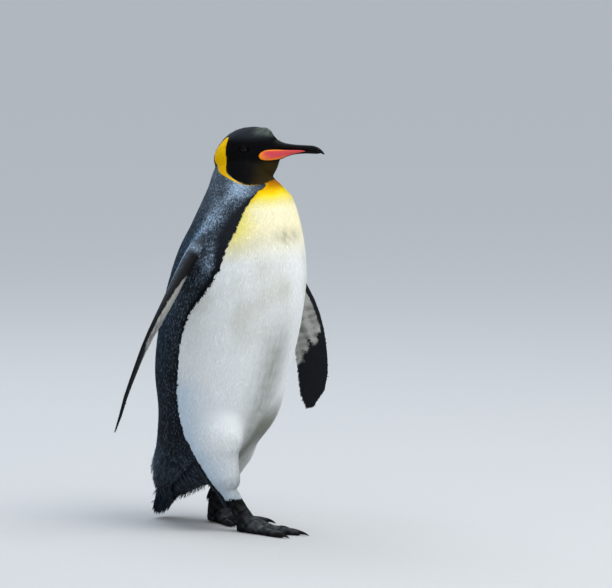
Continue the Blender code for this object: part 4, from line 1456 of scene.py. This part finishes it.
def make_light(name, place, aim, size, power, colour):
    data = bpy.data.lights.new(name, "AREA")
    data.shape = "DISK"
    data.size = size
    data.energy = power
    data.color = colour
    aimed(name, data, place, aim)


def make_sky():
    """A pale room, brighter towards its ceiling."""
    world = bpy.data.worlds.new("room")
    world.use_nodes = True
    nodes, links = world.node_tree.nodes, world.node_tree.links
    sky = nodes["Background"]
    sky.inputs["Color"].default_value = (0.84, 0.9, 0.97, 1)
    place, split, rise = (nodes.new(f"ShaderNode{kind}") for kind in ("TexCoord", "SeparateXYZ", "MapRange"))
    links.new(place.outputs["Generated"], split.inputs["Vector"])
    links.new(split.outputs["Z"], rise.inputs["Value"])
    rise.inputs["To Min"].default_value = 0.3
    rise.inputs["To Max"].default_value = 1.36
    links.new(rise.outputs["Result"], sky.inputs["Strength"])
    bpy.context.scene.world = world


def make_floor():
    shape = bmesh.new()
    bmesh.ops.create_circle(shape, cap_ends=True, segments=96, radius=150)
    floor = linked("floor", as_mesh(shape, "floor"))
    made = Shader("floor", Roughness=0.85, Specular_IOR_Level=0.2)
    base = made.add("RGB", "Color")
    base.default_value = (0.5, 0.51, 0.52, 1)
    made.tint(made.grain(60.0), 0.97, 1.03, base)
    floor.data.materials.append(made.material)


def make_room():
    bpy.context.scene.view_settings.view_transform = "Standard"
    make_sky()
    make_floor()
    for light in LIGHTS:
        make_light(*light)


# --- the bird


def dressed_skin():
    """The skin with its lids, markings and material, as ground for the coat."""
    skin, node = make_skin()
    node, bare = add_lids(skin, node)
    points = points_of(skin.data)
    paint(skin.data, mix(*plumage(points, node, np.zeros(len(points))), 0.5))
    skin.data.materials.append(skin_material())
    given(skin, "back_feathers", *FLESH)
    return Coat(skin, node, bare)


def main():
    make_camera()
    make_room()
    coat = dressed_skin()
    soft = feather_material("soft_feathers", 0.65, 0.04)
    dark = feather_material("hood_feathers", 0.5, 0.04)
    stiff = feather_material("flipper_feathers", 0.5, 0.07)
    scales = grained("foot_scales", 0.45, 0.1, 1500.0, 0.65, 1.3, 0.35, 4.0).material
    wet = grained("wet_eye", 0.05, 0.12, 1400.0, 0.6, 1.35).material
    nail = horn_material("nail_horn", 0.4, 0.08)
    body_coat(coat, soft, dark)
    for side, sign in SIDES:
        flipper_coat(coat, side, sign, stiff)
        foot_scales(coat, side, sign, scales)
    tail_quills(stiff)
    tail_cover(coat, stiff)
    make_bill()
    for side, sign in SIDES:
        eyeball(side, sign, wet)
    for (side, _), name in itertools.product(SIDES, ("inner", "middle", "outer")):
        claw(side, name, nail)


main()
